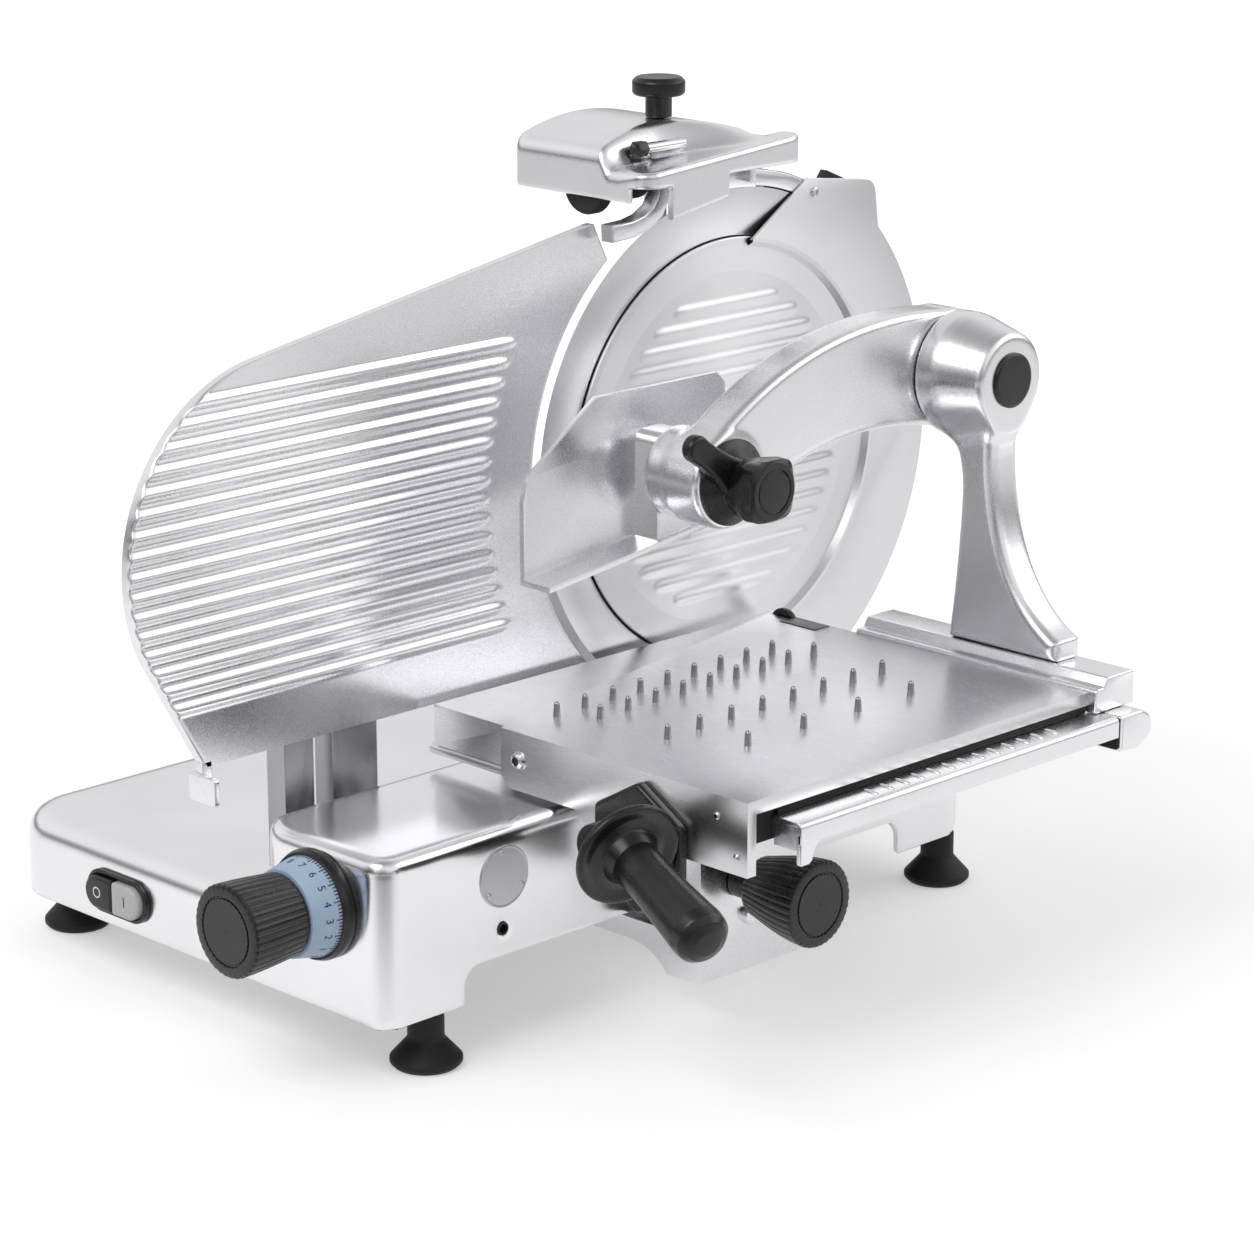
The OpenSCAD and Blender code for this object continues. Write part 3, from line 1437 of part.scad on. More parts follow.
module clamp_knob() {
    x = [arm_x + clear, arm_x + clear + clamp_knob_len];
    lever_x = [x[0] + 7, x[0] + 17];
    color("black") difference() {
        union() {
            turned_x(hub_y, hub_z) polygon([[0, x[0]], [hub_r - 2, x[0]], [hub_r - 2, x[0] + 3],
                [clamp_knob_r - 4, x[0] + 8], [clamp_knob_r - 3, x[0] + 18], [clamp_knob_r, x[1] - 10],
                [clamp_knob_r, x[1] - 2], [clamp_knob_r - 2, x[1]], [0, x[1]]]);
            along_x(lever_x) translate([hub_y, hub_z]) rotate(145) {
                polygon([[0, -clamp_knob_r + 6], [clamp_lever, -clamp_tip_r + 2], [clamp_lever, clamp_tip_r - 2],
                    [0, clamp_knob_r - 6]]);
                translate([clamp_lever, 0]) circle(clamp_tip_r);
            }
        }
        rod_x([x[0] - over, arm_x + 12 + fit], hub_y, hub_z, press_shaft_r + fit);
    }
}

module grip_bar() {
    top = [grip_top_z - grip_t, grip_top_z];
    color("silver") {
        box(grip_x, grip_y, top);
        box([grip_x[1] - grip_t, grip_x[1]], grip_y, [grip_top_z - grip_h, grip_top_z]);
        box([grip_x[1] - 7, grip_x[1]], [grip_y[0], grip_y[0] + 12], [grip_top_z - 2 * grip_h, grip_top_z]);
        for (i = [0:ridge_count - 1])
            rod_x([grip_x[0] + 4, grip_x[1] - 6], grip_y[0] + 78 + i * ridge_pitch, grip_top_z - 0.6, 2);
    }
}

module grip_bar_cap() {
    y = [grip_y[1], grip_y[1] + grip_cap_len];
    color("silver") soft_slab([grip_x[0] + 1, grip_x[1]], y, [grip_top_z - 1.5 * grip_h, grip_top_z],
        [1, 1, 9, 9], 7);
}

module sharpener_post() {
    color("gainsboro") rod_z(-post_x, -post_y, [knife_z + 30, sharp_top_z - 8], post_r);
}

// Domed box of the sharpener
module sharpener_form(w) {
    box_y = [-sharp_front + w, box_end_y - w];
    crest_y = (box_y[0] + box_y[1]) / 2;
    half = sharp_front / 2;
    dome_r = (half * half + sharp_dome * sharp_dome) / (2 * sharp_dome);
    intersection() {
        translate([0, 0, sharp_z - w]) linear_extrude(sharp_h + sharp_dome + w)
            even_plan([-sharp_left + w, 2 - w], box_y, sharp_r - w);
        rod_x([-sharp_left - over, sharp_right + over], crest_y, sharp_top_z - w - dome_r, dome_r);
    }
}

// Wing beside the knife and its bridge to the box
module sharpener_wing() {
    top_z = sharp_z + sharp_h + 2;
    fall = 8;
    intersection() {
        union() {
            translate([0, 0, wing_z]) linear_extrude(sharp_h + wing_drop + 2)
                plan([block_gap, sharp_right], [-sharp_front + 31, sharp_back], [2, 8, 8, 2]);
            translate([0, 0, sharp_z + 6]) linear_extrude(sharp_h)
                plan([-post_x + 14, block_gap + 4], [box_end_y - 25, sharp_back], [2, 2, 2, 12]);
        }
        along_x([-sharp_left, sharp_right + over]) polygon([[-sharp_front, wing_z - over],
            [sharp_back + over, wing_z - over], [sharp_back + over, top_z - fall], [-sharp_front / 2, top_z],
            [-sharp_front, top_z]]);
    }
}

// Open pocket for the push pin
module pin_pocket(w) {
    box([-push_pin_x - 11 - w, block_gap], [-sharp_front - over, push_pin_y[1] - 4 - 3 + w],
        [push_pin_z - 11 - w, sharp_top_z + over]);
}

module sharpener_housing() {
    color("silver") {
        difference() {
            union() {
                sharpener_form(0);
                sharpener_wing();
            }
            difference() {
                sharpener_form(sharp_wall);
                pin_pocket(3);
            }
            pin_pocket(0);
            rod_z(-t_knob_x, -post_y, [sharp_z, sharp_top_z + over], t_pin_r + fit);
            rod_y(-push_pin_x, [push_pin_y[0], push_pin_y[1] + push_travel + over], push_pin_z, push_pin_r + fit);
            // The knife edge runs under the back of the wing
            along_x([-knife_dish - 20, sharp_right + over])
                translate([0, knife_z]) circle(knife_r + sharp_gap);
            box([block_gap + 4, sharp_right + over], [8, sharp_back - 12], [wing_z - over, sharp_z + 4]);
        }
        // Socket on the post, with the seat of the lock knob
        difference() {
            union() {
                rod_z(-post_x, -post_y, [sharp_z + 2, sharp_top_z - sharp_wall], post_r + 6);
                rod_z(-t_knob_x, -post_y, [sharp_top_z - sharp_wall - 2, sharp_top_z], t_stem_r);
            }
            rod_z(-post_x, -post_y, [sharp_z - over, sharp_top_z - 7], post_r + fit);
            rod_z(-t_knob_x, -post_y, [sharp_top_z - t_pin_len - clear, sharp_top_z + over], t_pin_r + fit);
        }
        rod_y(-post_x, [-sharp_front + over, -post_y - post_r - 3], stone_z, spindle_r);
        // Hooked bar in front of the wing
        box([block_gap + 3, block_gap + 11], [-sharp_front + 28, -sharp_front + 38], [sharp_z - 14, sharp_z + 12]);
        box([block_gap + 3, block_gap + 11], [-sharp_front - 18, -sharp_front + 38], [sharp_z - 22, sharp_z - 13]);
    }
}

module sharpening_stones() {
    color("black") for (y = [-sharp_front + sharp_wall + 1, -sharp_front + 44]) difference() {
        rod_y(-post_x, [y, y + stone_t], stone_z, stone_r);
        rod_y(-post_x, [y - over, y + stone_t + over], stone_z, spindle_r);
    }
}

module sharpener_knob() {
    z0 = sharp_top_z + clear;
    color("black") translate([-t_knob_x, -post_y, z0]) {
        translate([0, 0, -t_pin_len]) cylinder(r = t_pin_r, h = t_pin_len + over);
        cylinder(r = t_stem_r, h = t_knob_h - t_head_h + over);
        translate([0, 0, t_knob_h - t_head_h]) rotate_extrude() polygon([[0, 0], [t_head_r - 2, 0], [t_head_r, 2],
            [t_head_r, t_head_h - 3], [t_head_r - 3, t_head_h], [0, t_head_h]]);
    }
}

module stone_push_pin() {
    color("gray") {
        rod_y(-push_pin_x, push_pin_y, push_pin_z, push_pin_r);
        rod_y(-push_pin_x, [push_pin_y[0] - 6, push_pin_y[0] + 4], push_pin_z, push_pin_r + 2.5);
    }
}

// Stand every piece on the origin
module place() {
    translate([-origin_x, -origin_y, 0]) children();
}

place() base_housing();
place() bottom_cover();
place() rubber_feet();
place() switch_bezel();
place() switch_block();
place() on_button();
place() off_button();
place() dial_bezel();
place() dial_knob();
place() dial_scale();
place() dial_shaft();
place() thickness_cam();
place() cam_follower();
place() gauge_plate();
place() gauge_carrier();
place() gauge_rods();
place() gauge_bushes();
place() rating_plate();
place() cable_gland();
place() knife();
place() knife_flange();
place() knife_screws();
place() knife_shaft();
place() knife_pulley();
place() knife_bearings();
place() drive_belt();
place() knife_housing();
place() belt_cover();
place() knife_cover();
place() cover_tie_rod();
place() cover_knob();
place() motor_body();
place() motor_shaft();
place() motor_pulley();
place() motor_cover();
place() guide_rod();
place() carriage_support();
place() guide_bushes();
place() feed_bushes();
place() lock_knob();
place() meat_table();
place() table_spikes();
place() feed_rods();
place() stop_rod();
place() apron_screw();
place() handle_plate();
place() handle_grip();
place() table_rail();
place() press_column();
place() column_cap();
place() press_arm();
place() press_plate();
place() clamp_knob();
place() grip_bar();
place() grip_bar_cap();
place() sharpener_post();
place() sharpener_housing();
place() sharpening_stones();
place() sharpener_knob();
place() stone_push_pin();
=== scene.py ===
import json
import math

import bmesh
import bpy
import numpy as np
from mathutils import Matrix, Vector


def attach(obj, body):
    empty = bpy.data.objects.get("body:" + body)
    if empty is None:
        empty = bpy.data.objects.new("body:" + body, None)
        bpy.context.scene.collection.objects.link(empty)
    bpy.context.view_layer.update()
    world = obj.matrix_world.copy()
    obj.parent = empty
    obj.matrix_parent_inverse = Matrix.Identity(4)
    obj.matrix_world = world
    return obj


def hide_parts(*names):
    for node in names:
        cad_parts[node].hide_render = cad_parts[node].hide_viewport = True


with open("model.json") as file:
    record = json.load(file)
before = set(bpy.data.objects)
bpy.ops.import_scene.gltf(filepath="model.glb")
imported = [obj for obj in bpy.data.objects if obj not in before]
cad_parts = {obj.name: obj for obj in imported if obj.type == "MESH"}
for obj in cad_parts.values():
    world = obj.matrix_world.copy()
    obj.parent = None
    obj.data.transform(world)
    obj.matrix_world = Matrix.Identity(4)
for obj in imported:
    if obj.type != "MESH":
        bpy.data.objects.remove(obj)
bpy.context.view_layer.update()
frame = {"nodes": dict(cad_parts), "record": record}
nodes = frame["nodes"]
scene = bpy.context.scene
scene.view_settings.view_transform = "Standard"
print("frame loaded:", len(nodes), "nodes")

# The slicer is drawn in millimetres about the cutting plane (x), the knife axis (y) and the worktop (z)
footprintMiddle = np.array([31.254334, -163.0, 0.0])
knifeAxis = (0.0, 320.0)


def toRow(points):
    return (np.asarray(points, float) - footprintMiddle) / 1000.0


def feed(socket, value):
    # sets a socket to a plain value, or links another socket to it
    if isinstance(value, bpy.types.NodeSocket):
        socket.id_data.links.new(value, socket)
    else:
        socket.default_value = value


def addNode(tree, kind, **values):
    node = tree.nodes.new("ShaderNode" + kind)
    for key, value in values.items():
        if key in node.inputs:
            feed(node.inputs[key], value)
        else:
            setattr(node, key, value)
    return node


def mapRange(tree, source, result, span=(0.0, 1.0), **settings):
    # carries a value from one range to another; the ends of the result may be sockets
    node = addNode(tree, "MapRange", Value=source, **settings)
    for key, value in zip(("From Min", "From Max", "To Min", "To Max"), (*span, *result)):
        feed(node.inputs[key], value)
    return node.outputs["Result"]


def joinValues(tree, operation, first, second):
    node = addNode(tree, "Math", operation=operation)
    feed(node.inputs[0], first)
    feed(node.inputs[1], second)
    return node.outputs["Value"]


def joinVectors(tree, operation, first, second):
    # gives a value for a distance or a dot product, and otherwise a vector
    node = addNode(tree, "VectorMath", operation=operation)
    feed(node.inputs[0], first)
    feed(node.inputs[1], second)
    return node.outputs["Value" if operation in ("DISTANCE", "DOT_PRODUCT") else "Vector"]


def startMaterial(name):
    mat = bpy.data.materials.new(name)
    mat.use_nodes = True
    return mat, mat.node_tree, mat.node_tree.nodes["Principled BSDF"]


def pieceCoords(tree):
    return addNode(tree, "TexCoord").outputs["Object"]


def objectNoise(tree, scale, detail, roughness=0.55, stretch=(1, 1, 1)):
    # noise on the piece's own coordinates, stretched for a brushed grain
    mapping = addNode(tree, "Mapping", Scale=stretch, Vector=pieceCoords(tree))
    noise = addNode(tree, "TexNoise", Scale=scale, Detail=detail, Roughness=roughness,
                    Vector=mapping.outputs["Vector"])
    return noise.outputs["Fac"]


grainForm = {"span": (0.3, 0.7), "depth": 0.0002, "cloud": 0.03, "tint": 0.025, "metalClouds": 9.0,
             "plasticClouds": 40.0}


def grey(level, tint=0.0):
    return (level, level, level * (1 + tint), 1)


def finishSurface(tree, shader, clouds, grain, colours, rough, vary, bump):
    # colour from wide clouds, roughness and a fine relief from the grain
    blend = addNode(tree, "ValToRGB", Fac=clouds)
    for element, spot, colour in zip(blend.color_ramp.elements, grainForm["span"], colours):
        element.position, element.color = spot, colour
    relief = addNode(tree, "Bump", Strength=bump, Distance=grainForm["depth"], Height=grain)
    feed(shader.inputs["Base Color"], blend.outputs["Color"])
    feed(shader.inputs["Roughness"], mapRange(tree, grain, (rough - vary, rough + vary), grainForm["span"]))
    feed(shader.inputs["Normal"], relief.outputs["Normal"])


def makeMetal(name, level, rough, grainScale, bump=0.012, vary=0.05, stretch=(1, 1, 1)):
    mat, tree, shader = startMaterial(name)
    shader.inputs["Metallic"].default_value = 1.0
    clouds = objectNoise(tree, grainForm["metalClouds"], 4.0)
    grain = objectNoise(tree, grainScale, 2.0, 0.6, stretch)
    colours = [grey(level + change, grainForm["tint"])
               for change in (-grainForm["cloud"], grainForm["cloud"])]
    finishSurface(tree, shader, clouds, grain, colours, rough, vary, bump)
    return mat


def makePlastic(name, low, high, rough, grainScale, bump, gloss=0.5):
    mat, tree, shader = startMaterial(name)
    shader.inputs["Specular IOR Level"].default_value = gloss
    clouds = objectNoise(tree, grainForm["plasticClouds"], 4.0)
    grain = objectNoise(tree, grainScale, 2.0)
    finishSurface(tree, shader, clouds, grain, (low, high), rough, 0.06, bump)
    return mat


def makeTurned(name, level, rough, pull):
    # metal turned about the knife's axis: the highlight is drawn out along the radius
    mat = makeMetal(name, level, rough, 1200.0, 0.002, 0.015)
    tree = mat.node_tree
    shader = tree.nodes["Principled BSDF"]
    shader.inputs["Anisotropic"].default_value = pull
    away = joinVectors(tree, "SUBTRACT", pieceCoords(tree), toRow((footprintMiddle[0], *knifeAxis)))
    feed(shader.inputs["Tangent"], joinVectors(tree, "MULTIPLY", away, (0, 1, 1)))
    return mat


metalForms = {  # level, roughness, grain scale, relief, spread of the roughness, stretch of the grain
    "satinAluminium": (0.82, 0.26, 1500.0),
    "baseAluminium": (0.84, 0.19, 1500.0, 0.015),
    # castAluminium is kept dark as painted shade, for the parts in its slot that stand in shadow behind other
    # parts
    "castAluminium": (0.42, 0.42, 900.0, 0.08),
    "plateAluminium": (0.60, 0.48, 900.0),
    "brushedStainless": (0.75, 0.29, 60.0, 0.004, 0.025, (1, 40, 40)),
    "groundSteel": (0.64, 0.16, 700.0, 0.02),
    "spikeSteel": (0.40, 0.24, 700.0, 0.02),
    "bronze": (0.55, 0.30, 800.0),
    "greyIron": (0.30, 0.45, 600.0, 0.10),
}
# level, roughness, pull
turnedForms = {"turnedAluminium": (0.80, 0.36, 0.75), "knifeSteel": (0.78, 0.26, 0.8)}
plasticForms = {  # darkest and lightest colour, roughness, grain scale, relief, gloss
    "blackPlastic": (grey(0.005), grey(0.009), 0.28, 1400.0, 0.05),
    "blackRubber": (grey(0.008), grey(0.014), 0.55, 900.0, 0.10, 0.30),
    "greyPlastic": (grey(0.46), grey(0.54), 0.25, 900.0, 0.02),
    "scalePlastic": ((0.36, 0.48, 0.64, 1), (0.42, 0.54, 0.70, 1), 0.45, 900.0, 0.03),
    "markInk": (grey(0.012), grey(0.030), 0.55, 900.0, 0.02),
    "markPaint": (grey(0.76), grey(0.84), 0.45, 900.0, 0.02),
    "abrasiveStone": (grey(0.010), grey(0.030), 0.85, 2500.0, 0.35),
}
finish = {}
for make, forms in ((makeMetal, metalForms), (makeTurned, turnedForms), (makePlastic, plasticForms)):
    finish.update({name: make(name, *form) for name, form in forms.items()})


def joinWords(name):
    # gauge_plate becomes gaugePlate
    first, *rest = name.split("_")
    return first + "".join(word.title() for word in rest)


def slotLook(slotName):
    return "brushedStainless" if slotName == "stainless_steel" else joinWords(slotName)


nodeSlot = {part["node"]: part["material_slot"] for part in frame["record"]["subparts"]}
nodeBody = {node: body for body, held in frame["record"]["behaviour"]["bodies"].items() for node in held}
for node, slotName in nodeSlot.items():
    mesh = nodes[node].data
    mesh.materials.clear()
    mesh.materials.append(finish[slotLook(slotName)])
print("finishes on all nodes")


def roundCorners(points, radius, steps=6):
    # each corner of the closed outline becomes a quadratic arc between two points set back along its sides
    pts = np.asarray(points, float)
    back, ahead = np.roll(pts, 1, 0) - pts, np.roll(pts, -1, 0) - pts
    backLen, aheadLen = np.linalg.norm(back, axis=1), np.linalg.norm(ahead, axis=1)
    back, ahead = back / backLen[:, None], ahead / aheadLen[:, None]
    half = np.arccos(np.clip((back * ahead).sum(1), -1, 1)) / 2
    room = 0.49 * np.minimum(backLen, aheadLen)
    setback = np.minimum(np.asarray(radius, float) / np.tan(np.maximum(half, 0.05)), room)
    start, end = pts + back * setback[:, None], pts + ahead * setback[:, None]
    t = np.linspace(0, 1, steps + 1)[None, :, None]
    arcs = (1 - t) ** 2 * start[:, None] + 2 * t * (1 - t) * pts[:, None] + t**2 * end[:, None]
    return arcs.reshape(-1, 2)


def roundBox(low, high, radius):
    # a rectangle between two opposite corners, with its corners rounded
    return roundCorners([low, (high[0], low[1]), high, (low[0], high[1])], radius)


def sixSided(centre, radius, turn=0):
    angle = np.radians(turn + 60 * np.arange(6))
    return np.stack([centre[0] + radius * np.cos(angle), centre[1] + radius * np.sin(angle)], 1)


def quadCurve(start, control, end, count=24):
    t = np.linspace(0, 1, count)[:, None]
    return (1 - t) ** 2 * np.array(start) + 2 * t * (1 - t) * np.array(control) + t**2 * np.array(end)


def arcPoints(centre, radius, fromAngle, toAngle, count=32):
    angle = np.radians(np.linspace(fromAngle, toAngle, count))
    return np.array(centre) + radius * np.stack([np.cos(angle), np.sin(angle)], 1)


def cleanLine(line, closed):
    step = np.linalg.norm(np.roll(line, -1, 0) - line, axis=1) > 1e-3
    step[-1] = step[-1] if closed else True
    return line[step]


def onAxis(axis, along, first, second):
    # puts a height along one axis and two coordinates across it into x, y, z
    parts = {"x": (along, first, second), "y": (first, along, second), "z": (first, second, along)}[axis]
    return np.stack(np.broadcast_arrays(*parts), -1)


def inset(outline, depth):
    # moves a closed outline inwards along the mean normal of the two sides at each point
    side = np.roll(outline, -1, 0) - outline
    side = side / np.maximum(np.linalg.norm(side, axis=1), 1e-9)[:, None]
    normal = np.stack([side[:, 1], -side[:, 0]], 1)
    mean = normal + np.roll(normal, 1, 0)
    mean = mean / np.maximum((mean * mean).sum(1) / 2, 0.5)[:, None]
    area = (outline[:, 0] * np.roll(outline[:, 1], -1) - np.roll(outline[:, 0], -1) * outline[:, 1]).sum()
    return outline - np.sign(area) * mean * depth


def softExtrude(outline, span, edge, axis, steps=5):
    # a closed outline carried along an axis and drawn in by a quarter circle at both ends
    outline = cleanLine(outline, True)
    angle = np.linspace(0, math.pi / 2, steps + 1)
    drawn = np.concatenate([edge * (1 - np.sin(angle)), edge * (1 - np.sin(angle[::-1]))])
    along = np.concatenate([span[0] + edge * (1 - np.cos(angle)), span[1] - edge * (1 - np.cos(angle[::-1]))])
    rings = np.stack([inset(outline, d) for d in drawn])
    return {"grid": onAxis(axis, along[:, None], rings[:, :, 0], rings[:, :, 1]), "wrap": True, "caps": True}


def softProfile(points, radius, steps=5):
    # an open profile of height and radius whose inner corners are rounded
    corners = np.full(len(points), float(radius))
    corners[[0, -1]] = 0.0
    return cleanLine(roundCorners(points, corners, steps), False)


def turned(profile, centre, axis, count=96, wave=None):
    # a profile of height and radius turned about an axis; wave changes the radius with angle and height
    profile = np.asarray(profile, float)
    angle = np.linspace(0, 2 * math.pi, count, endpoint=False)[None, :]
    along, radius = profile[:, :1], profile[:, 1:]
    radius = radius + (0 if wave is None else wave(angle, along))
    first, second = centre[0] + radius * np.cos(angle), centre[1] + radius * np.sin(angle)
    return {"grid": onAxis(axis, along + 0 * angle, first, second), "wrap": True, "caps": True}


def turnSoft(points, radius, centre, axis, count):
    return turned(softProfile(points, radius), centre, axis, count)


def rod(span, radius, edge, centre, axis, count):
    # a round bar with soft ends
    ends = [(span[0], 0.01), (span[0], radius), (span[1], radius), (span[1], 0.01)]
    return turnSoft(ends, edge, centre, axis, count)


def leanTo(shell, place, heading):
    # turns a shape standing on z = 0 so that its axis follows a heading, and moves it to its place
    heading = np.asarray(heading, float) / np.linalg.norm(heading)
    side = np.cross([0, 0, 1.0], heading)
    side = side / np.linalg.norm(side)
    axes = np.stack([side, np.cross(heading, side), heading])
    return {**shell, "grid": shell["grid"] @ axes + np.asarray(place, float)}


def buildMesh(name, shells):
    spots, faces, start = [], [], 0
    for shell in shells:
        grid = shell["grid"]
        rows, columns = grid.shape[:2]
        i = np.arange(rows - 1)[:, None]
        j = np.arange(columns if shell.get("wrap") else columns - 1)[None, :]
        right = (j + 1) % columns
        quads = np.stack([i * columns + j, i * columns + right, (i + 1) * columns + right,
                          (i + 1) * columns + j], -1)
        faces += (quads.reshape(-1, 4) + start).tolist()
        if shell.get("caps"):
            last = start + (rows - 1) * columns
            faces += [list(range(start, start + columns)), list(range(last, last + columns))]
        spots.append(grid.reshape(-1, 3))
        start += rows * columns
    mesh = bpy.data.meshes.new(name)
    mesh.from_pydata(toRow(np.concatenate(spots)).tolist(), [], faces)
    work = bmesh.new()
    work.from_mesh(mesh)
    bmesh.ops.remove_doubles(work, verts=work.verts, dist=2e-6)
    bmesh.ops.dissolve_degenerate(work, edges=work.edges, dist=1e-6)
    bmesh.ops.recalc_face_normals(work, faces=work.faces)
    work.to_mesh(mesh)
    work.free()
    return mesh


def addPiece(name, body, look, mesh, standsFor=(), sharp=38.0):
    mesh.materials.clear()
    mesh.materials.append(finish[look])
    mesh.polygons.foreach_set("use_smooth", np.ones(len(mesh.polygons), bool))
    mesh.set_sharp_from_angle(angle=math.radians(sharp))
    piece = bpy.data.objects.new(name, mesh)
    scene.collection.objects.link(piece)
    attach(piece, body)
    if standsFor:
        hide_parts(*standsFor)
    print("piece", name, len(mesh.polygons), "faces")


def standFor(node, mesh, look=None, sharp=38.0, name=None):
    # the piece rides where its node rides, and has the node's name in one word and the finish of its slot
    slotName = nodeSlot[node]
    addPiece(name or joinWords(node), nodeBody[node], look or slotLook(slotName), mesh, (node,),
             sharp)


def dress(node, shells, look=None, sharp=38.0, name=None):
    standFor(node, buildMesh(name or joinWords(node), shells), look, sharp, name)


def addTrim(name, body, slotName, shells, look=None):
    # a new piece that no node holds, in its slot's own finish unless another is named
    addPiece(name, body, look or slotLook(slotName), buildMesh(name, shells))


def softCopy(node, width, minAngle, segments):
    # a node's mesh with its triangles joined into flat faces and its sharp edges rounded
    mesh = nodes[node].data.copy()
    work = bmesh.new()
    work.from_mesh(mesh)
    bmesh.ops.remove_doubles(work, verts=work.verts, dist=1e-5)
    bmesh.ops.dissolve_limit(work, angle_limit=math.radians(1.0), verts=work.verts, edges=work.edges)
    least = math.radians(minAngle)
    sharpEdges = [e for e in work.edges if len(e.link_faces) == 2 and e.calc_face_angle(0) > least]
    bmesh.ops.bevel(work, geom=sharpEdges, offset=width / 1000, segments=segments, profile=0.5,
                    affect="EDGES", clamp_overlap=True)
    work.to_mesh(mesh)
    work.free()
    standFor(node, mesh, sharp=30.0)


def smoothMax(a, b, k):
    # rounds the edge where two fields meet: max + (k - |a - b|)^2 / 4k within k of it
    return np.maximum(a, b) + np.maximum(k - np.abs(a - b), 0) ** 2 / (4 * k)


def smoothMin(a, b, k):
    return -smoothMax(-a, -b, k)


def roundRectField(a, b, low, high, radius):
    da = np.abs(a - (low[0] + high[0]) / 2) - (high[0] - low[0]) / 2 + radius
    db = np.abs(b - (low[1] + high[1]) / 2) - (high[1] - low[1]) / 2 + radius
    return np.hypot(np.maximum(da, 0), np.maximum(db, 0)) + np.minimum(np.maximum(da, db), 0) - radius


def outlineField(outline, a, b):
    # signed distance of plane points to a closed outline: nearest side, and the crossing count for the sign
    outline = cleanLine(np.asarray(outline, float), True)
    shape, p = np.broadcast(a, b).shape, np.stack([v.ravel() for v in np.broadcast_arrays(a, b)], -1)[:, None]
    start, end = outline[None], np.roll(outline, -1, 0)[None]
    side = end - start
    t = np.clip(((p - start) * side).sum(-1) / (side * side).sum(-1), 0, 1)[..., None]
    away = np.linalg.norm(p - start - t * side, axis=-1).min(1)
    spans = (start[..., 1] > p[..., 1]) != (end[..., 1] > p[..., 1])
    rise = np.where(side[..., 1] == 0, 1e-9, side[..., 1])
    crossed = spans & (p[..., 0] < start[..., 0] + (p[..., 1] - start[..., 1]) * side[..., 0] / rise)
    return np.where(crossed.sum(1) % 2 == 1, -away, away).reshape(shape)


def fieldMesh(name, field, low, high, cell):
    # surface net: one vertex per cell that the surface crosses, at the mean of its edge crossings,
    # and a quad for each crossed edge
    axes = [np.arange(lo - 2 * cell, hi + 3 * cell, cell) for lo, hi in zip(low, high)]
    x, y, z = axes[0][:, None, None], axes[1][None, :, None], axes[2][None, None, :]
    values = np.ascontiguousarray(np.broadcast_to(field(x, y, z), [len(v) for v in axes]))
    inside = values < 0
    corners = np.array([(i, j, k) for i in (0, 1) for j in (0, 1) for k in (0, 1)])
    cells = tuple(n - 1 for n in values.shape)
    full = sum(inside[i:i + cells[0], j:j + cells[1], k:k + cells[2]].astype(np.int8) for i, j, k in corners)
    where = np.argwhere((full > 0) & (full < 8))
    at = [values[tuple((where + c).T)] for c in corners]
    total, count = np.zeros((len(where), 3)), np.zeros((len(where), 1))
    pairs = [(m, n) for m in range(8) for n in range(m + 1, 8) if np.abs(corners[m] - corners[n]).sum() == 1]
    for first, second in pairs:
        crossing = ((at[first] < 0) != (at[second] < 0))[:, None]
        t = (at[first] / np.where(at[first] == at[second], 1, at[first] - at[second]))[:, None]
        total += np.where(crossing, corners[first] + t * (corners[second] - corners[first]), 0)
        count += crossing
    spots = np.array([v[0] for v in axes]) + cell * (where + total / count)
    number = np.full(cells, -1)
    number[tuple(where.T)] = np.arange(len(where))
    faces, one = [], np.eye(3, dtype=int)
    for axis in range(3):
        across = [(axis + 1) % 3, (axis + 2) % 3]
        u, v = one[across]
        edge = np.argwhere(np.diff(inside, axis=axis))
        for k in across:
            edge = edge[(edge[:, k] > 0) & (edge[:, k] < cells[k])]
        quad = np.stack([number[tuple((edge - d).T)] for d in (u + v, v, 0 * u, u)], 1)
        out = inside[tuple(edge.T)]
        faces.append(np.where(out[:, None], quad, quad[:, ::-1]))
    mesh = bpy.data.meshes.new(name)
    mesh.from_pydata(toRow(spots).tolist(), [], np.concatenate(faces).tolist())
    return mesh


def cast(node, field, low, high, cell, look=None):
    standFor(node, fieldMesh(joinWords(node), field, low, high, cell), look, 42.0)


def ribHeights(y, z, ribZ, leftEnd, rightEnd, width, height, taper):
    # highest rib at each point: height * t * cos^2(pi d / 2 half),
    # where t falls to 0 as a quarter ellipse at its end
    gap = np.minimum(y[None] - leftEnd[:, None, None], rightEnd[:, None, None] - y[None])
    s = np.clip(gap / taper, 0, 1)
    t = np.sqrt(s * (2 - s))
    half = np.maximum(width / 2 * np.sqrt(t), 1e-3)
    d = np.clip(np.abs(z[None] - ribZ[:, None, None]) / half, 0, 1)
    return (height * t * np.cos(math.pi / 2 * d) ** 2).max(0)


gaugeForm = {"low": 190.0, "top": 495.4, "noseY": -405.0, "noseR": 128.0, "axisZ": 320.0, "arcR": 190.0,
             "thick": 9.0, "ribH": 1.8, "ribW": 12.0, "pitch": 12.9, "ribs": 16, "firstRib": 232.0,
             "ribEndR": 230.0, "edge": 2.0, "toeY": -478.0, "step": (-118.0, 470.0), "tip": (-131.0, 496.0),
             "tab": ((-14.0, 167.0), (12.5, 185.5)), "tabY": (-482.0, -478.0),
             "stem": ((-8.6, 181.0), (-1.8, 194.0)), "stemY": (-480.0, -472.0)}


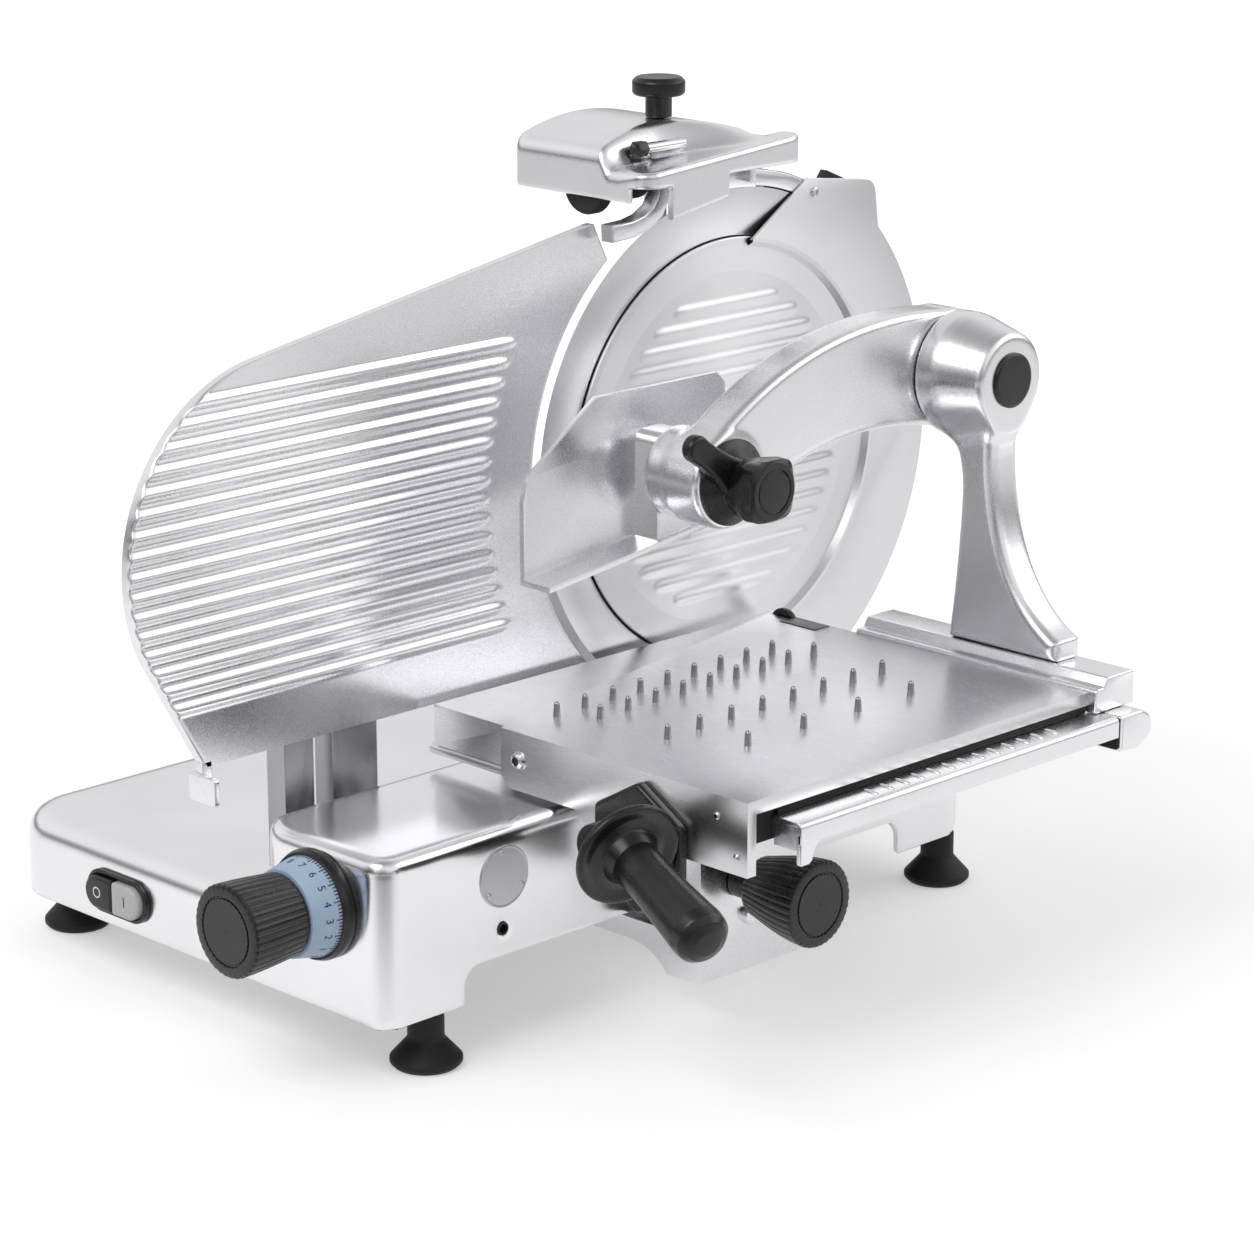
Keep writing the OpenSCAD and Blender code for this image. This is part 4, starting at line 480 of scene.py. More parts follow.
def gaugePlateShell(f):
    # rows of constant height between the nose outline and the knife's arc,
    # with ribs raised from the front face
    z = np.linspace(f["low"], f["top"], 330)
    lowAngle, topAngle = math.radians(25), math.radians(9)
    lowZ, lowY = f["axisZ"] - f["noseR"] * math.sin(lowAngle), f["noseY"] - f["noseR"] * math.cos(lowAngle)
    topZ, topY = f["axisZ"] + f["noseR"] * math.cos(topAngle), f["noseY"] - f["noseR"] * math.sin(topAngle)
    nose = f["noseY"] - np.sqrt(np.maximum(f["noseR"] ** 2 - (z - f["axisZ"]) ** 2, 0))
    (stepY, stepZ), (tipY, tipZ) = f["step"], f["tip"]
    toeLine = np.interp(z, [f["low"], lowZ], [f["toeY"], lowY])
    topLine = np.interp(z, [topZ, tipZ], [topY, tipY])
    left = np.where(z < lowZ, toeLine, np.where(z < topZ, nose, topLine))
    arc = -np.sqrt(np.maximum(f["arcR"] ** 2 - (z - f["axisZ"]) ** 2, 0))
    right = np.minimum(np.where(z > stepZ, 0, arc), np.interp(z, [f["axisZ"], stepZ, tipZ], [0, stepY, tipY]))
    left, right = left[:, None], right[:, None]
    edge = np.minimum(f["edge"], 0.4 * (right - left))
    bend = np.linspace(0, math.pi / 2, 5)[None, :-1]
    u = np.linspace(0, 1, 150)[None, :]
    inner = (left + edge) * (1 - u) + (right - edge) * u
    y = np.concatenate([left + edge * (1 - np.cos(bend)), inner, right - edge * (1 - np.cos(bend[:, ::-1]))],
                       1)
    drop = np.concatenate([edge * (1 - np.sin(bend)), 0 * inner, edge * (1 - np.sin(bend[:, ::-1]))], 1)
    ribZ = f["firstRib"] + f["pitch"] * np.arange(f["ribs"])
    ribEnd = -np.sqrt(f["ribEndR"] ** 2 - (ribZ - f["axisZ"]) ** 2)
    ribs = ribHeights(y, z[:, None] + 0 * y, ribZ, np.full(f["ribs"], -900.0), ribEnd, f["ribW"], f["ribH"],
                      16.0)
    front = np.stack([ribs - f["ribH"] - drop, y, z[:, None] + 0 * y], -1)
    backX = np.full((len(z), 2), -f["thick"])
    back = np.stack([backX, np.concatenate([right, left], 1), z[:, None] + 0 * backX], -1)
    return {"grid": np.concatenate([front, back], 1), "wrap": True, "caps": True}


dress("gauge_plate", [
    gaugePlateShell(gaugeForm),
    softExtrude(roundBox(*gaugeForm["tab"], 3.0), gaugeForm["tabY"], 0.8, "y"),
    softExtrude(roundBox(*gaugeForm["stem"], 1.0), gaugeForm["stemY"], 0.8, "y"),
])

coverForm = {"axisZ": 320.0, "flatR": 125.8, "rimR": 149.8, "front": -0.6, "sunk": -2.35, "ribH": 1.25,
             "ribW": 12.0, "pitch": 12.9, "bottomZ": 156.0, "guardR": 207.0, "guardX": (1.5, 3.5),
             "innerR": 147.8, "earAngle": 82.4}


def knifeCoverShells(f):
    # a sunk ribbed disc, the ring about it, the flat guard with its ear, and the step between ring and guard
    rows = int((f["flatR"] - 14) / f["pitch"])
    ribZ = f["pitch"] * np.arange(-rows, rows + 1)
    reach = np.sqrt((f["flatR"] - 10) ** 2 - ribZ**2)
    z = f["flatR"] * np.sin(np.linspace(-math.pi / 2, math.pi / 2, 260))[:, None]
    u = np.linspace(-1, 1, 120)[None, :]
    y = u * np.sqrt(np.maximum(f["flatR"] ** 2 - z**2, 0))
    ribs = ribHeights(y, z + 0 * y, ribZ, -reach, reach, f["ribW"], f["ribH"], 12.0)
    face = np.stack([f["sunk"] + ribs, y, f["axisZ"] + z + 0 * y], -1)
    ring = turned(softProfile([(-4.8, 6.0), (-4.8, f["flatR"]), (-3.0, f["rimR"]), (f["front"], f["rimR"]),
                               (f["front"], f["rimR"] - 5), (f["sunk"], f["flatR"])], 0.8), (0, f["axisZ"]),
                  "x", 192)
    ring["caps"] = False
    earCorner = quadCurve((137.0, 496.4), (148.4, 495.0), (149.4, 484.0), 8)
    ear = np.concatenate([[(18.4, 466.6), (76.0, 504.0)], earCorner])
    lowAngle = math.degrees(math.asin((f["bottomZ"] - f["axisZ"]) / f["guardR"]))
    outer = arcPoints((0, f["axisZ"]), f["guardR"], 42.5, lowAngle, 80)
    innerArc = arcPoints((0, f["axisZ"]), f["innerR"], -90, f["earAngle"], 80)
    outline = np.concatenate([ear, outer, [(0, f["bottomZ"])], innerArc])
    guard = softExtrude(outline, f["guardX"], 0.5, "x", 3)
    angle = np.radians(np.linspace(-90, f["earAngle"], 90))[None, :]
    lift = np.array([(-1.8, 149.3), (3.7, 149.3), (3.7, 146.3), (-1.8, 142.5)])
    step = onAxis("x", lift[:, :1] + 0 * angle, lift[:, 1:] * np.cos(angle),
                  f["axisZ"] + lift[:, 1:] * np.sin(angle))
    return [{"grid": face}, ring, guard, {"grid": step}]


dress("knife_cover", knifeCoverShells(coverForm), "turnedAluminium")

knifeForm = {"axisZ": 320.0, "r": 185.0, "band": 34.0, "slant": 5.0, "bore": 22.0, "dish": 7.5, "thick": 3.5,
             "bevel": 9.0, "edge": 0.5}


def knifeShell(f):
    # flat dished middle, cone up to the cutting edge and a ground bevel behind it
    band, deep, t = f["r"] - f["band"], -f["dish"], f["thick"]
    face = [(deep, f["bore"]), (deep, band - f["slant"]), (-t, band), (-0.02, f["r"])]
    rear = [(-f["edge"], f["r"]), (-t, f["r"] - f["bevel"]), (-2 * t, band), (deep - t, band - f["slant"])]
    line = face + rear + [(deep - t, f["bore"]), (deep, f["bore"])]
    shell = turned(softProfile(line, 0.35, 2), (0.0, f["axisZ"]), "x", 256)
    shell["caps"] = False
    return shell


dress("knife", [knifeShell(knifeForm)], sharp=30.0, name="knifeBlade")

dress("column_cap", [
    turnSoft([(201.7, 0.01), (201.7, 19.0), (203.4, 19.0), (204.2, 17.0), (204.2, 0.01)], 0.8, (67.0, 389.0),
             "x", 96)])

fluteForm = {"count": 36, "depth": 0.6}


def flutes(ends):
    # radius loss of depth * cos^2 of half the flute angle, faded out near both ends
    def wave(angle, along):
        low, high = min(ends), max(ends)
        window = np.clip((along - low) / 2.5, 0, 1) * np.clip((high - along) / 2.5, 0, 1)
        return -fluteForm["depth"] * window * (0.5 + 0.5 * np.cos(fluteForm["count"] * angle)) ** 3
    return wave


def knobProfile(back, face, backR, faceR):
    # back edge, tapered side, rounded face edge and a narrow groove round the face
    way = 1 if face > back else -1
    side = np.linspace(0, 1, 24)[1:-1]
    taper = [(back + (face - back) * t, backR + (faceR - backR) * math.sin(math.pi / 2 * t) ** 1.15)
             for t in side]
    front = [(face - way * 2.2, faceR), (face - way * 0.6, faceR - 0.9), (face, faceR - 2.6),
             (face, faceR - 7.4), (face - way * 0.9, faceR - 7.8), (face - way * 0.9, faceR - 8.8),
             (face, faceR - 9.2), (face, 0.01)]
    return [(back, 0.01), (back, backR - 2.5), (back + way * 0.7, backR - 0.8)] + taper + front


dress("dial_knob", [
    turned(knobProfile(-478.0, -524.5, 27.5, 30.5), (72.0, 110.5), "y", 360, flutes((-479.0, -526.0)))])
dress("lock_knob", [
    turnSoft([(174.0, 0.01), (174.0, 6.0), (193.5, 6.0), (193.5, 12.0), (212.5, 12.0), (212.5, 0.01)], 0.8,
             (-190.0, 92.4), "x", 64),
    turned(knobProfile(212.0, 265.0, 20.0, 29.5), (-190.0, 92.4), "x", 360, flutes((213.0, 266.5)))])

clampForm = {"hub": np.array([-155.0, 347.0]), "lean": 145, "reach": 55.0, "tipR": 9.0, "rootR": 17.5,
             "waist": (24, 7), "leverX": (155.7, 165.7)}


def leverOutline(f):
    # a round tip joined to the hub by two hollow sides
    hub, lean = f["hub"], math.radians(f["lean"])
    way = np.array([math.cos(lean), math.sin(lean)])
    aside = np.array([-way[1], way[0]])
    tip = arcPoints(hub + f["reach"] * way, f["tipR"], f["lean"] - 100, f["lean"] + 100, 24)
    middle, offset = hub + f["waist"][0] * way, f["waist"][1] * aside
    side = quadCurve(hub - f["rootR"] * aside, middle - offset, tip[0], 10)
    other = quadCurve(tip[-1], middle + offset, hub + f["rootR"] * aside, 10)
    return np.concatenate([tip, other, side])


def squareHead(angle, along):
    # rounds the head of the knob to a square: 20 * ((|cos|^5 + |sin|^5)^-0.2 - 1), faded out at both ends
    window = np.clip((along - 163) / 6, 0, 1) * np.clip((188.2 - along) / 2.5, 0, 1)
    return 20 * window * ((np.abs(np.cos(angle)) ** 5 + np.abs(np.sin(angle)) ** 5) ** -0.2 - 1)


dress("clamp_knob", [
    turned(softProfile([(148.7, 0.01), (148.7, 29.0), (151.7, 29.0), (155.0, 24.0), (160.0, 18.0),
                        (168.0, 18.6), (178.0, 20.2), (186.5, 20.6), (188.7, 19.2), (188.7, 15.6),
                        (187.9, 15.3), (187.9, 14.5), (188.7, 14.2), (188.7, 0.01)], 1.2), clampForm["hub"],
           "x", 144, squareHead),
    softExtrude(leverOutline(clampForm), clampForm["leverX"], 3.0, "x")])

handleForm = {"slope": 16, "azimuth": 75, "root": (235.0, -337.8, 157.5), "plate": (209.0, 144.0),
              "plateR": 44.0, "plateY": (-302.8, -293.8), "neckY": (-347.8, -302.8), "neckR": 15.0,
              "neck": (216.0, 157.5),
              "profile": [(-16.0, 0.01), (-16.0, 13.0), (-3.0, 27.0), (0.0, 35.5), (5.0, 35.5), (6.0, 32.5),
                          (3.6, 26.0), (5.5, 19.5), (14.0, 15.8), (34.0, 15.4), (62.0, 16.7), (90.0, 18.5),
                          (97.6, 17.7), (101.8, 14.0), (104.2, 8.4), (104.9, 0.01)]}


def handleShells(f):
    # a grip with its hand guard, turned about a sloping line, and the neck that carries it
    slope, azimuth = math.radians(f["slope"]), math.radians(f["azimuth"])
    heading = (math.cos(slope) * math.sin(azimuth), -math.cos(slope) * math.cos(azimuth), -math.sin(slope))
    return [leanTo(turnSoft(f["profile"], 4.0, (0, 0), "z", 96), f["root"], heading),
            rod(f["neckY"], f["neckR"], 2.5, f["neck"], "y", 64)]


dress("handle_grip", handleShells(handleForm), sharp=50.0)
dress("handle_plate", [softExtrude(
    roundCorners(sixSided(handleForm["plate"], handleForm["plateR"], 30), 6.0), handleForm["plateY"], 3.0,
    "y")])
print("plates, press and knobs built")

pressForm = {"pivot": (67.0, 389.0), "pivotR": 42.0, "hub": (-155.0, 347.0), "hubR": 31.0,
             "armX": (117.2, 148.2), "hubX": (98.2, 148.2), "headX": (148.7, 201.7), "columnY": (49.0, 80.0),
             "edge": 9.0, "armEdge": 6.0, "blend": 14.0, "foot": 203.0, "headLow": 345}


def armField(x, y, z):
    # an extruded outline with soft edges, blended into the hub's cylinder
    f = pressForm
    (py, pz), (hy, hz) = f["pivot"], f["hub"]
    top = quadCurve((hy - 24.8, hz + 18.6), (hy + 70, pz + 58), (py - 4, pz + 41.8))
    under = quadCurve((py, pz - 42), (hy + 110, pz - 14), (hy + 23.3, hz - 18.6))
    hubArc = arcPoints(f["hub"], f["hubR"], -38.7, -216.9, 40)
    pivotArc = arcPoints(f["pivot"], f["pivotR"], 95.6, -90, 48)
    outline = np.concatenate([hubArc, top, pivotArc, under])
    flat = outlineField(outline, y[0, :, :], z[0])[None]
    arm = smoothMax(flat, np.maximum(f["armX"][0] - x, x - f["armX"][1]), f["armEdge"])
    hub = smoothMax(np.hypot(y - hy, z - hz) - f["hubR"], np.maximum(f["hubX"][0] - x, x - f["hubX"][1]), 5.0)
    return smoothMin(arm, hub, 5.0)


def columnField(x, y, z):
    # the standing blade of the column, blended into a head that is turned about the pivot
    f = pressForm
    py, pz = f["pivot"]
    left = quadCurve((162.7, 203.0), (170.7, 269.0), (171.7, 309.0))
    leftTop = quadCurve((171.7, 309.0), (171.7, 340.0), (154.7, 356.0))
    waist = quadCurve((199.7, 336.0), (201.0, 308.0), (207.7, 285.0))
    right = quadCurve((207.7, 285.0), (221.7, 237.0), (259.7, 217.0))
    outline = np.concatenate([left, leftTop, [(154.7, 389.0), (199.7, 389.0)], waist, right,
                              [(259.7, 203.0)]])
    flat = outlineField(outline, x[:, 0, :], z[0])[:, None]
    blade = smoothMax(flat, np.maximum(f["columnY"][0] - y, y - f["columnY"][1]), f["edge"])
    r = np.hypot(y - py, z - pz)
    low, high = f["headX"]
    side = np.interp(x, [low, low + 15, low + 21, low + 48, high], [42.0, 42.0, 40.9, 33.4, 32.0])
    head = smoothMax(0.95 * (r - side), np.maximum(low - x, x - high), 5.0)
    body = smoothMin(blade, head, f["blend"])
    # the head's own end faces hold above headLow, and the foot is cut level
    faces = np.maximum(low - x, x - high) * (z > f["headLow"]) - 1e3 * (z <= f["headLow"])
    return np.maximum(np.maximum(body, f["foot"] - z), faces)


cast("press_arm", armField, (98, -187, 315), (149, 110, 432), 1.4)
cast("press_column", columnField, (148, 24, 203), (260, 110, 432), 1.4)

sharpenerForm = {"x": (-105.0, 30.0), "y": (-113.0, 45.0), "corner": 14.0, "boxBack": 16.0, "wingX": 4.7,
                 "crestY": -46.0, "crest": 555.0, "roof": 335.0, "lipFront": 531.5, "lipRise": 0.080,
                 "edge": 9.0, "wall": 5.0, "pin": (-5.0, 541.0), "pinRoom": (7.2, -73.0)}


def sharpenerField(x, y, z):
    # the dome falls by a parabola from its crest; a scoop steps down to the wing,
    # narrow in front and wider behind
    f = sharpenerForm
    dome = f["crest"] - (y - f["crestY"]) ** 2 / f["roof"]
    wing = f["lipFront"] + f["lipRise"] * (y + 90)
    width = 10 + 16 * np.clip((y + 113) / 60, 0, 1)
    back = np.clip((y + 62) / 80, 0, 1)
    s = np.clip((0.5 * width - 12 + 24 * back * back * (3 - 2 * back) - x) / width, 0, 1)
    roof = wing + (np.maximum(dome, wing) - wing) * s * s * (3 - 2 * s)
    walls = roundRectField(x, y, (f["x"][0], f["y"][0]), (f["x"][1], f["y"][1]), f["corner"])
    away = smoothMin(np.maximum(f["boxBack"] - y, x - f["wingX"]), np.full_like(walls, 1e3), 1.0)
    footprint = smoothMax(walls, -away, 6.0)
    edge = f["edge"] - 5.5 * np.clip((x - 2) / 20, 0, 1)
    body = smoothMax(footprint, 0.92 * (z - roof), edge)
    hollow = np.maximum(footprint + f["wall"], z - roof + f["wall"])
    # the nut of the push pin keeps a round path free
    pinX, pinZ = f["pin"]
    path = np.maximum(np.hypot(x - pinX, z - pinZ) - f["pinRoom"][0], y - f["pinRoom"][1])
    body = smoothMax(np.maximum(body, -hollow), -path, 2.0)
    # height of the lower rim: under the wing, and under the box
    wingRim = np.where(y < -88, 519.0, np.where(y < -32, 497 + 0.17 * (y + 84), 522.0))
    rim = np.where(x > 13, wingRim, np.where(y > f["boxBack"], 522.0, 508.5))
    return smoothMax(body, rim - z, 2.0)


cast("sharpener_housing", sharpenerField, (-108, -114, 495), (31, 46, 556), 1.2)
hookForm = {"path": np.array([(-80.0, 524.0), (-81.5, 511.0), (-88.0, 501.0), (-99.0, 494.5), (-112.0, 491.5),
                              (-131.0, 490.5)]), "half": 5.8, "x": (4.0, 16.5)}


def hookOutline(f):
    # the path moved to both sides along its normals
    side = np.gradient(f["path"], axis=0)
    side = f["half"] * (side[:, ::-1] * (1, -1) / np.linalg.norm(side, axis=1)[:, None])
    return np.concatenate([f["path"] + side, (f["path"] - side)[::-1]])


addTrim("sharpenerHook", "sharpener", "satin_aluminium", [
    softExtrude(hookOutline(hookForm), hookForm["x"], 1.2, "x", 3)])
print("castings built")

baseForm = {"x": (-265.0, 132.5), "y": (-449.0, 117.5), "low": 98.0, "block": 150.0, "blockLeft": 4.7,
            "floor": 37.0, "lowCorner": 45.0, "blockCorners": (32.0, 16.0, 28.0, 13.0), "lowEdge": 22.0,
            "blockEdge": 10.0, "wall": 7.0, "archY": (-379.0, 39.5), "archTop": 63.0, "archR": 14.0,
            "hole": (-346.0, 82.0, 3.6), "wallFrom": 100}


def baseField(x, y, z):
    # a low slab and a taller block with soft edges, hollowed from below;
    # the right wall has an arch and a hole
    f = baseForm
    low = roundRectField(x, y, (f["x"][0], f["y"][0]), (900.0, f["y"][1]), f["lowCorner"])
    low = smoothMax(np.maximum(low, x - f["x"][1] + 12), z - f["low"], f["lowEdge"])
    frontLeft, frontRight, backRight, backLeft = f["blockCorners"]
    leftHalf, frontHalf = x < (f["blockLeft"] + f["x"][1]) / 2, y < -166
    corner = np.where(frontHalf, np.where(leftHalf, frontLeft, frontRight),
                      np.where(leftHalf, backLeft, backRight))
    block = roundRectField(x, y, (f["blockLeft"], f["y"][0]), (f["x"][1], f["y"][1]), corner)
    block = smoothMax(block, z - f["block"], f["blockEdge"])
    outer = np.minimum(low, block)
    arch = roundRectField(y, z, (f["archY"][0], -30.0), (f["archY"][1], f["archTop"]), f["archR"])
    hole = np.hypot(y - f["hole"][0], z - f["hole"][1]) - f["hole"][2]
    body = np.maximum(np.maximum(outer, -(outer + f["wall"])), f["floor"] - z)
    return np.maximum(body, -np.maximum(np.minimum(arch, hole), f["wallFrom"] - x))


cast("base_housing", baseField, (-265, -449, 37), (132.5, 117.5, 150), 3.0, "baseAluminium")

footForm = {"x": (-249.0, 116.5), "y": (-399.5, 100.5), "profile": [
    (0.0, 0.01), (0.0, 20.7), (3.0, 23.7), (6.0, 23.7), (18.0, 13.0), (20.0, 12.0), (37.3, 12.0),
    (37.3, 0.01)]}
dress("rubber_feet", [
    turnSoft(footForm["profile"], 1.6, (x, y), "z", 72) for x in footForm["x"] for y in footForm["y"]])

# rows of spikes: place across and place of the first one, step between two, and count, in pitches of the grid
spikeForm = {"rows": [(0.31, 1.67, 1.0, 9), (1.23, 2.31, 1.0, 9), (3.62, 2.31, 1.15, 8),
                      (5.42, 3.31, 2.04, 4)],
             "pitch": 26.0, "stripRight": 75.5, "front": -293.8, "top": 193.3,
             "profile": [(0.0, 2.5), (7.2, 2.1), (8.9, 1.75), (9.7, 1.2), (10.0, 0.6), (10.0, 0.01)]}


def spikeShells(f):
    profile = np.array(f["profile"]) + (f["top"], 0)
    spots = [(f["stripRight"] + across * f["pitch"], (first + k * step) * f["pitch"] + f["front"])
             for across, first, step, count in f["rows"] for k in range(count)]
    return [turned(profile, spot, "z", 20) for spot in spots]


dress("table_spikes", spikeShells(spikeForm), "spikeSteel")

softForms = {  # width of the rounded edges, least angle of an edge that is rounded, segments
    "meat_table": (1.4, 50.0, 4),
    "table_rail": (2.2, 35.0, 4),
    "press_plate": (1.5, 40.0, 4),
    "carriage_support": (2.0, 50.0, 4),
    "on_button": (2.2, 50.0, 5),
    "off_button": (2.2, 50.0, 5),
    "gauge_carrier": (1.6, 50.0, 3),
    "knife_housing": (1.6, 50.0, 3),
    "motor_cover": (1.2, 50.0, 3),
    "sharpener_knob": (1.0, 30.0, 4),
    "switch_bezel": (1.2, 50.0, 4),
}
for node, form in softForms.items():
    softCopy(node, *form)

capForm = {"outline": [(48.2, 154.0), (68.0, 152.8), (82.5, 160.0), (82.5, 173.0), (72.0, 179.0),
                       (48.2, 179.0)],
           "corners": [2.5, 8.0, 9.0, 9.0, 8.0, 2.5], "x": (296.5, 319.5),
           "gasket": ((297.6, 156.0), (318.6, 178.0)), "gasketY": (45.6, 49.0)}
dress("grip_bar_cap", [
    softExtrude(roundCorners(capForm["outline"], capForm["corners"]), capForm["x"], 2.4, "x")])
addTrim("capGasket", "table", "black_rubber", [
    softExtrude(roundBox(*capForm["gasket"], 2.0), capForm["gasketY"], 0.3, "y", 2)])

# black strip under the right edge of the table, above the grip bar: painted shade that fills the gap between
# them
shadeStripForm = {"strip": ((284.0, 163.0), (294.0, 190.0)), "stripY": (-288.0, 36.0),
            "lip": ((290.0, 179.1), (297.3, 185.0)), "lipY": (-266.0, 38.0)}
addTrim("tableSeal", "table", "black_rubber", [
    softExtrude(roundBox(*shadeStripForm["strip"], 1.5), shadeStripForm["stripY"], 1.0, "y", 3),
    softExtrude(roundBox(*shadeStripForm["lip"], 0.8), shadeStripForm["lipY"], 0.5, "y", 2)])

# black stop at the back left of the table: a flat plate and a half round disc
stopForm = {"plate": ((30.5, 184.5), (65.0, 193.8)), "plateY": (21.5, 38.5), "disc": (21.5, 186.0),
            "discY": (35.0, 39.2), "discR": 12.5}
addTrim("tableStop", "table", "black_plastic", [
    softExtrude(roundBox(*stopForm["plate"], 1.2), stopForm["plateY"], 1.0, "y", 3),
    rod(stopForm["discY"], stopForm["discR"], 1.2, stopForm["disc"], "y", 64)])

screwForm = {"main": (92.5, 174.3), "small": [(271.5, 179.3), (288.5, 155.8)], "socketR": 2.6,
             "mainProfile": [(-293.6, 0.01), (-293.6, 6.5), (-294.4, 6.5), (-296.2, 5.2), (-297.2, 3.6),
                             (-297.2, 3.0), (-295.2, 2.8), (-295.2, 0.01)],
             "smallProfile": [(-293.6, 0.01), (-293.6, 2.5), (-294.6, 2.3), (-295.2, 1.4), (-295.2, 0.01)]}
dress("apron_screw", [
    turnSoft(screwForm["mainProfile"], 0.35, screwForm["main"], "y", 64),
    *[turnSoft(screwForm["smallProfile"], 0.3, spot, "y", 32) for spot in screwForm["small"]]], "groundSteel")
# the hex socket of the main screw is a flat black hexagon in mark ink: painted shade in the socket
addTrim("screwSocket", "table", "black_plastic", [
    softExtrude(sixSided(screwForm["main"], screwForm["socketR"]), (-296.0, -294.5), 0.1, "y", 1)], "markInk")

gripForm = {"x": (295.5, 319.5), "y": (-268.8, 46.5), "top": 179.0, "deep": 14.0, "thick": 3.0, "ridges": 13,
            "pitch": 15.0, "firstRidge": -190.8}


def gripBarShells(f):
    # a bent strip, the tongue and the plate at its front end, and a row of oval ridges along its top
    (x0, x1), (y0, y1), top, t = f["x"], f["y"], f["top"], f["thick"]
    bend = (x1 - 4, top - 4)
    section = np.concatenate([[(x0, top - t), (x0, top)], arcPoints(bend, 4, 90, 0, 8),
                              [(x1, top - f["deep"]), (x1 - t, top - f["deep"])],
                              arcPoints(bend, 1, 0, 90, 4)])
    toe = quadCurve((y0, top - 26), (y0, top - 28), (y0 + 2, top - 28), 5)
    heel = quadCurve((y0 + 11, top - 26), (y0 + 13, top - 14), (y0 + 24, top - 13), 12)
    tongue = np.concatenate([[(y0 + 24, top - 8), (y0, top - 8), (y0, top - 26)], toe, [(y0 + 8, top - 28)],
                             heel])
    plate = roundBox((x0 + 0.3, top - 19), (x1 - 4, top - 0.5), 1.5)
    reach = np.linspace(-1, 1, 15)
    ridgeR = np.maximum(2.0 * np.sqrt(np.clip(1 - np.abs(reach) ** 3, 0, 1)), 0.01)
    ridge = np.stack([(x0 + x1) / 2 - 1 + 8.0 * reach, ridgeR], 1)
    ridgeY = f["firstRidge"] + f["pitch"] * np.arange(f["ridges"])
    return [softExtrude(section, (y0, y1), 0.6, "y", 3),
            softExtrude(tongue, (x1 - 4.2, x1 - 0.2), 0.8, "x", 3),
            softExtrude(plate, (y0 + 0.4, y0 + 3.4), 0.6, "y", 3),
            *[turned(ridge, (y, top - 0.6), "x", 20) for y in ridgeY]]


dress("grip_bar", gripBarShells(gripForm))

plateForm = {"centre": (-345.0, 117.5), "rivets": (100.0, 215.0, 330.0), "rivetCircle": 17.0,
             "profile": [(132.3, 0.01), (132.3, 20.7), (133.5, 20.7), (133.7, 19.9), (133.4, 19.2),
                         (133.4, 0.01)],
             "rivet": [(133.3, 1.9), (134.0, 1.7), (134.6, 1.1), (134.8, 0.01)]}
rivetSpots = [arcPoints(plateForm["centre"], plateForm["rivetCircle"], a, a, 1)[0]
              for a in plateForm["rivets"]]
dress("rating_plate", [
    turnSoft(plateForm["profile"], 0.2, plateForm["centre"], "x", 96),
    *[turned(plateForm["rivet"], spot, "x", 24) for spot in rivetSpots]])

bushForm = {"centre": (-346.0, 82.0),
            "profile": [(125.0, 0.01), (125.0, 4.4), (132.8, 4.4), (132.8, 3.3), (126.0, 3.3), (126.0, 0.01)]}
addTrim("wallBush", "base", "black_plastic", [turned(bushForm["profile"], bushForm["centre"], "x", 40)],
        "markInk")

# guard strap over the knife edge, the black wedge behind the guard's ear and the ear's screw
guardForm = {"strapR": (186.0, 197.0), "strapTurn": (68, 92), "strapX": (-6.0, 1.2), "wedgeX": (-5.0, 1.4),
             "wedge": [(88.0, 494.0), (112.0, 490.0), (121.0, 497.4), (98.0, 507.0)], "screw": (83.0, 493.0),
             "screwProfile": [(3.3, 3.8), (4.7, 3.6), (5.4, 2.4), (5.4, 1.7), (4.4, 1.6), (4.4, 0.01)]}
strapArcs = [arcPoints(knifeAxis, radius, *turn, 24) for radius, turn in
             zip(guardForm["strapR"][::-1], (guardForm["strapTurn"], guardForm["strapTurn"][::-1]))]
addTrim("guardStrap", "base", "satin_aluminium", [
    softExtrude(np.concatenate(strapArcs), guardForm["strapX"], 0.5, "x", 2)])
addTrim("earWedge", "base", "black_plastic", [
    softExtrude(roundCorners(guardForm["wedge"], 1.5), guardForm["wedgeX"], 0.6, "x", 3)])
addTrim("earScrew", "base", "ground_steel",
        [turnSoft(guardForm["screwProfile"], 0.3, guardForm["screw"], "x", 40)])

pinForm = {"centre": sharpenerForm["pin"], "y": (-84.0, -42.0), "r": 3.5, "nutY": (-89.5, -80.0), "nutR": 5.9}
dress("stone_push_pin", [rod(pinForm["y"], pinForm["r"], 0.8, pinForm["centre"], "y", 40)])
addTrim("pinNut", "stone_pin", "black_plastic", [
    softExtrude(roundCorners(sixSided(pinForm["centre"], pinForm["nutR"]), 0.8), pinForm["nutY"], 0.8, "y",
                3)])

stoneForm = {"places": [(-108.0, -36.0, 515.0), (-69.0, -36.0, 521.0)],
             "profile": [(0.0, 3.1), (0.0, 19.0), (2.0, 20.0), (9.0, 20.0), (10.0, 18.5), (10.0, 3.1)]}
dress("sharpening_stones", [
    turnSoft(np.array(stoneForm["profile"]) + (y, 0), 0.6, (x, z), "y", 72)
    for y, x, z in stoneForm["places"]])

scaleForm = {"centre": (72.0, 110.5), "wideY": -456.5, "narrowY": -478.0, "wideR": 33.5, "narrowR": 29.0,
             "last": 15, "firstTurn": -60, "sweep": 300, "tickLong": (4.6, 2.6), "tickHalf": 0.34,
             "figure": 7.4, "figureAlong": 10.2}


def onScale(angle, along, lift):
    # a point of the tapered ring: angle round its axis, distance from the wide end, height above the surface
    f = scaleForm
    r = f["wideR"] - (f["wideR"] - f["narrowR"]) * along / (f["wideY"] - f["narrowY"]) + lift
    return onAxis("y", f["wideY"] - along, f["centre"][0] + r * np.cos(angle),
                  f["centre"][1] + r * np.sin(angle))


def markMesh(name, spots, faces):
    mesh = bpy.data.meshes.new(name)
    mesh.from_pydata(toRow(spots).tolist(), [], faces)
    return mesh


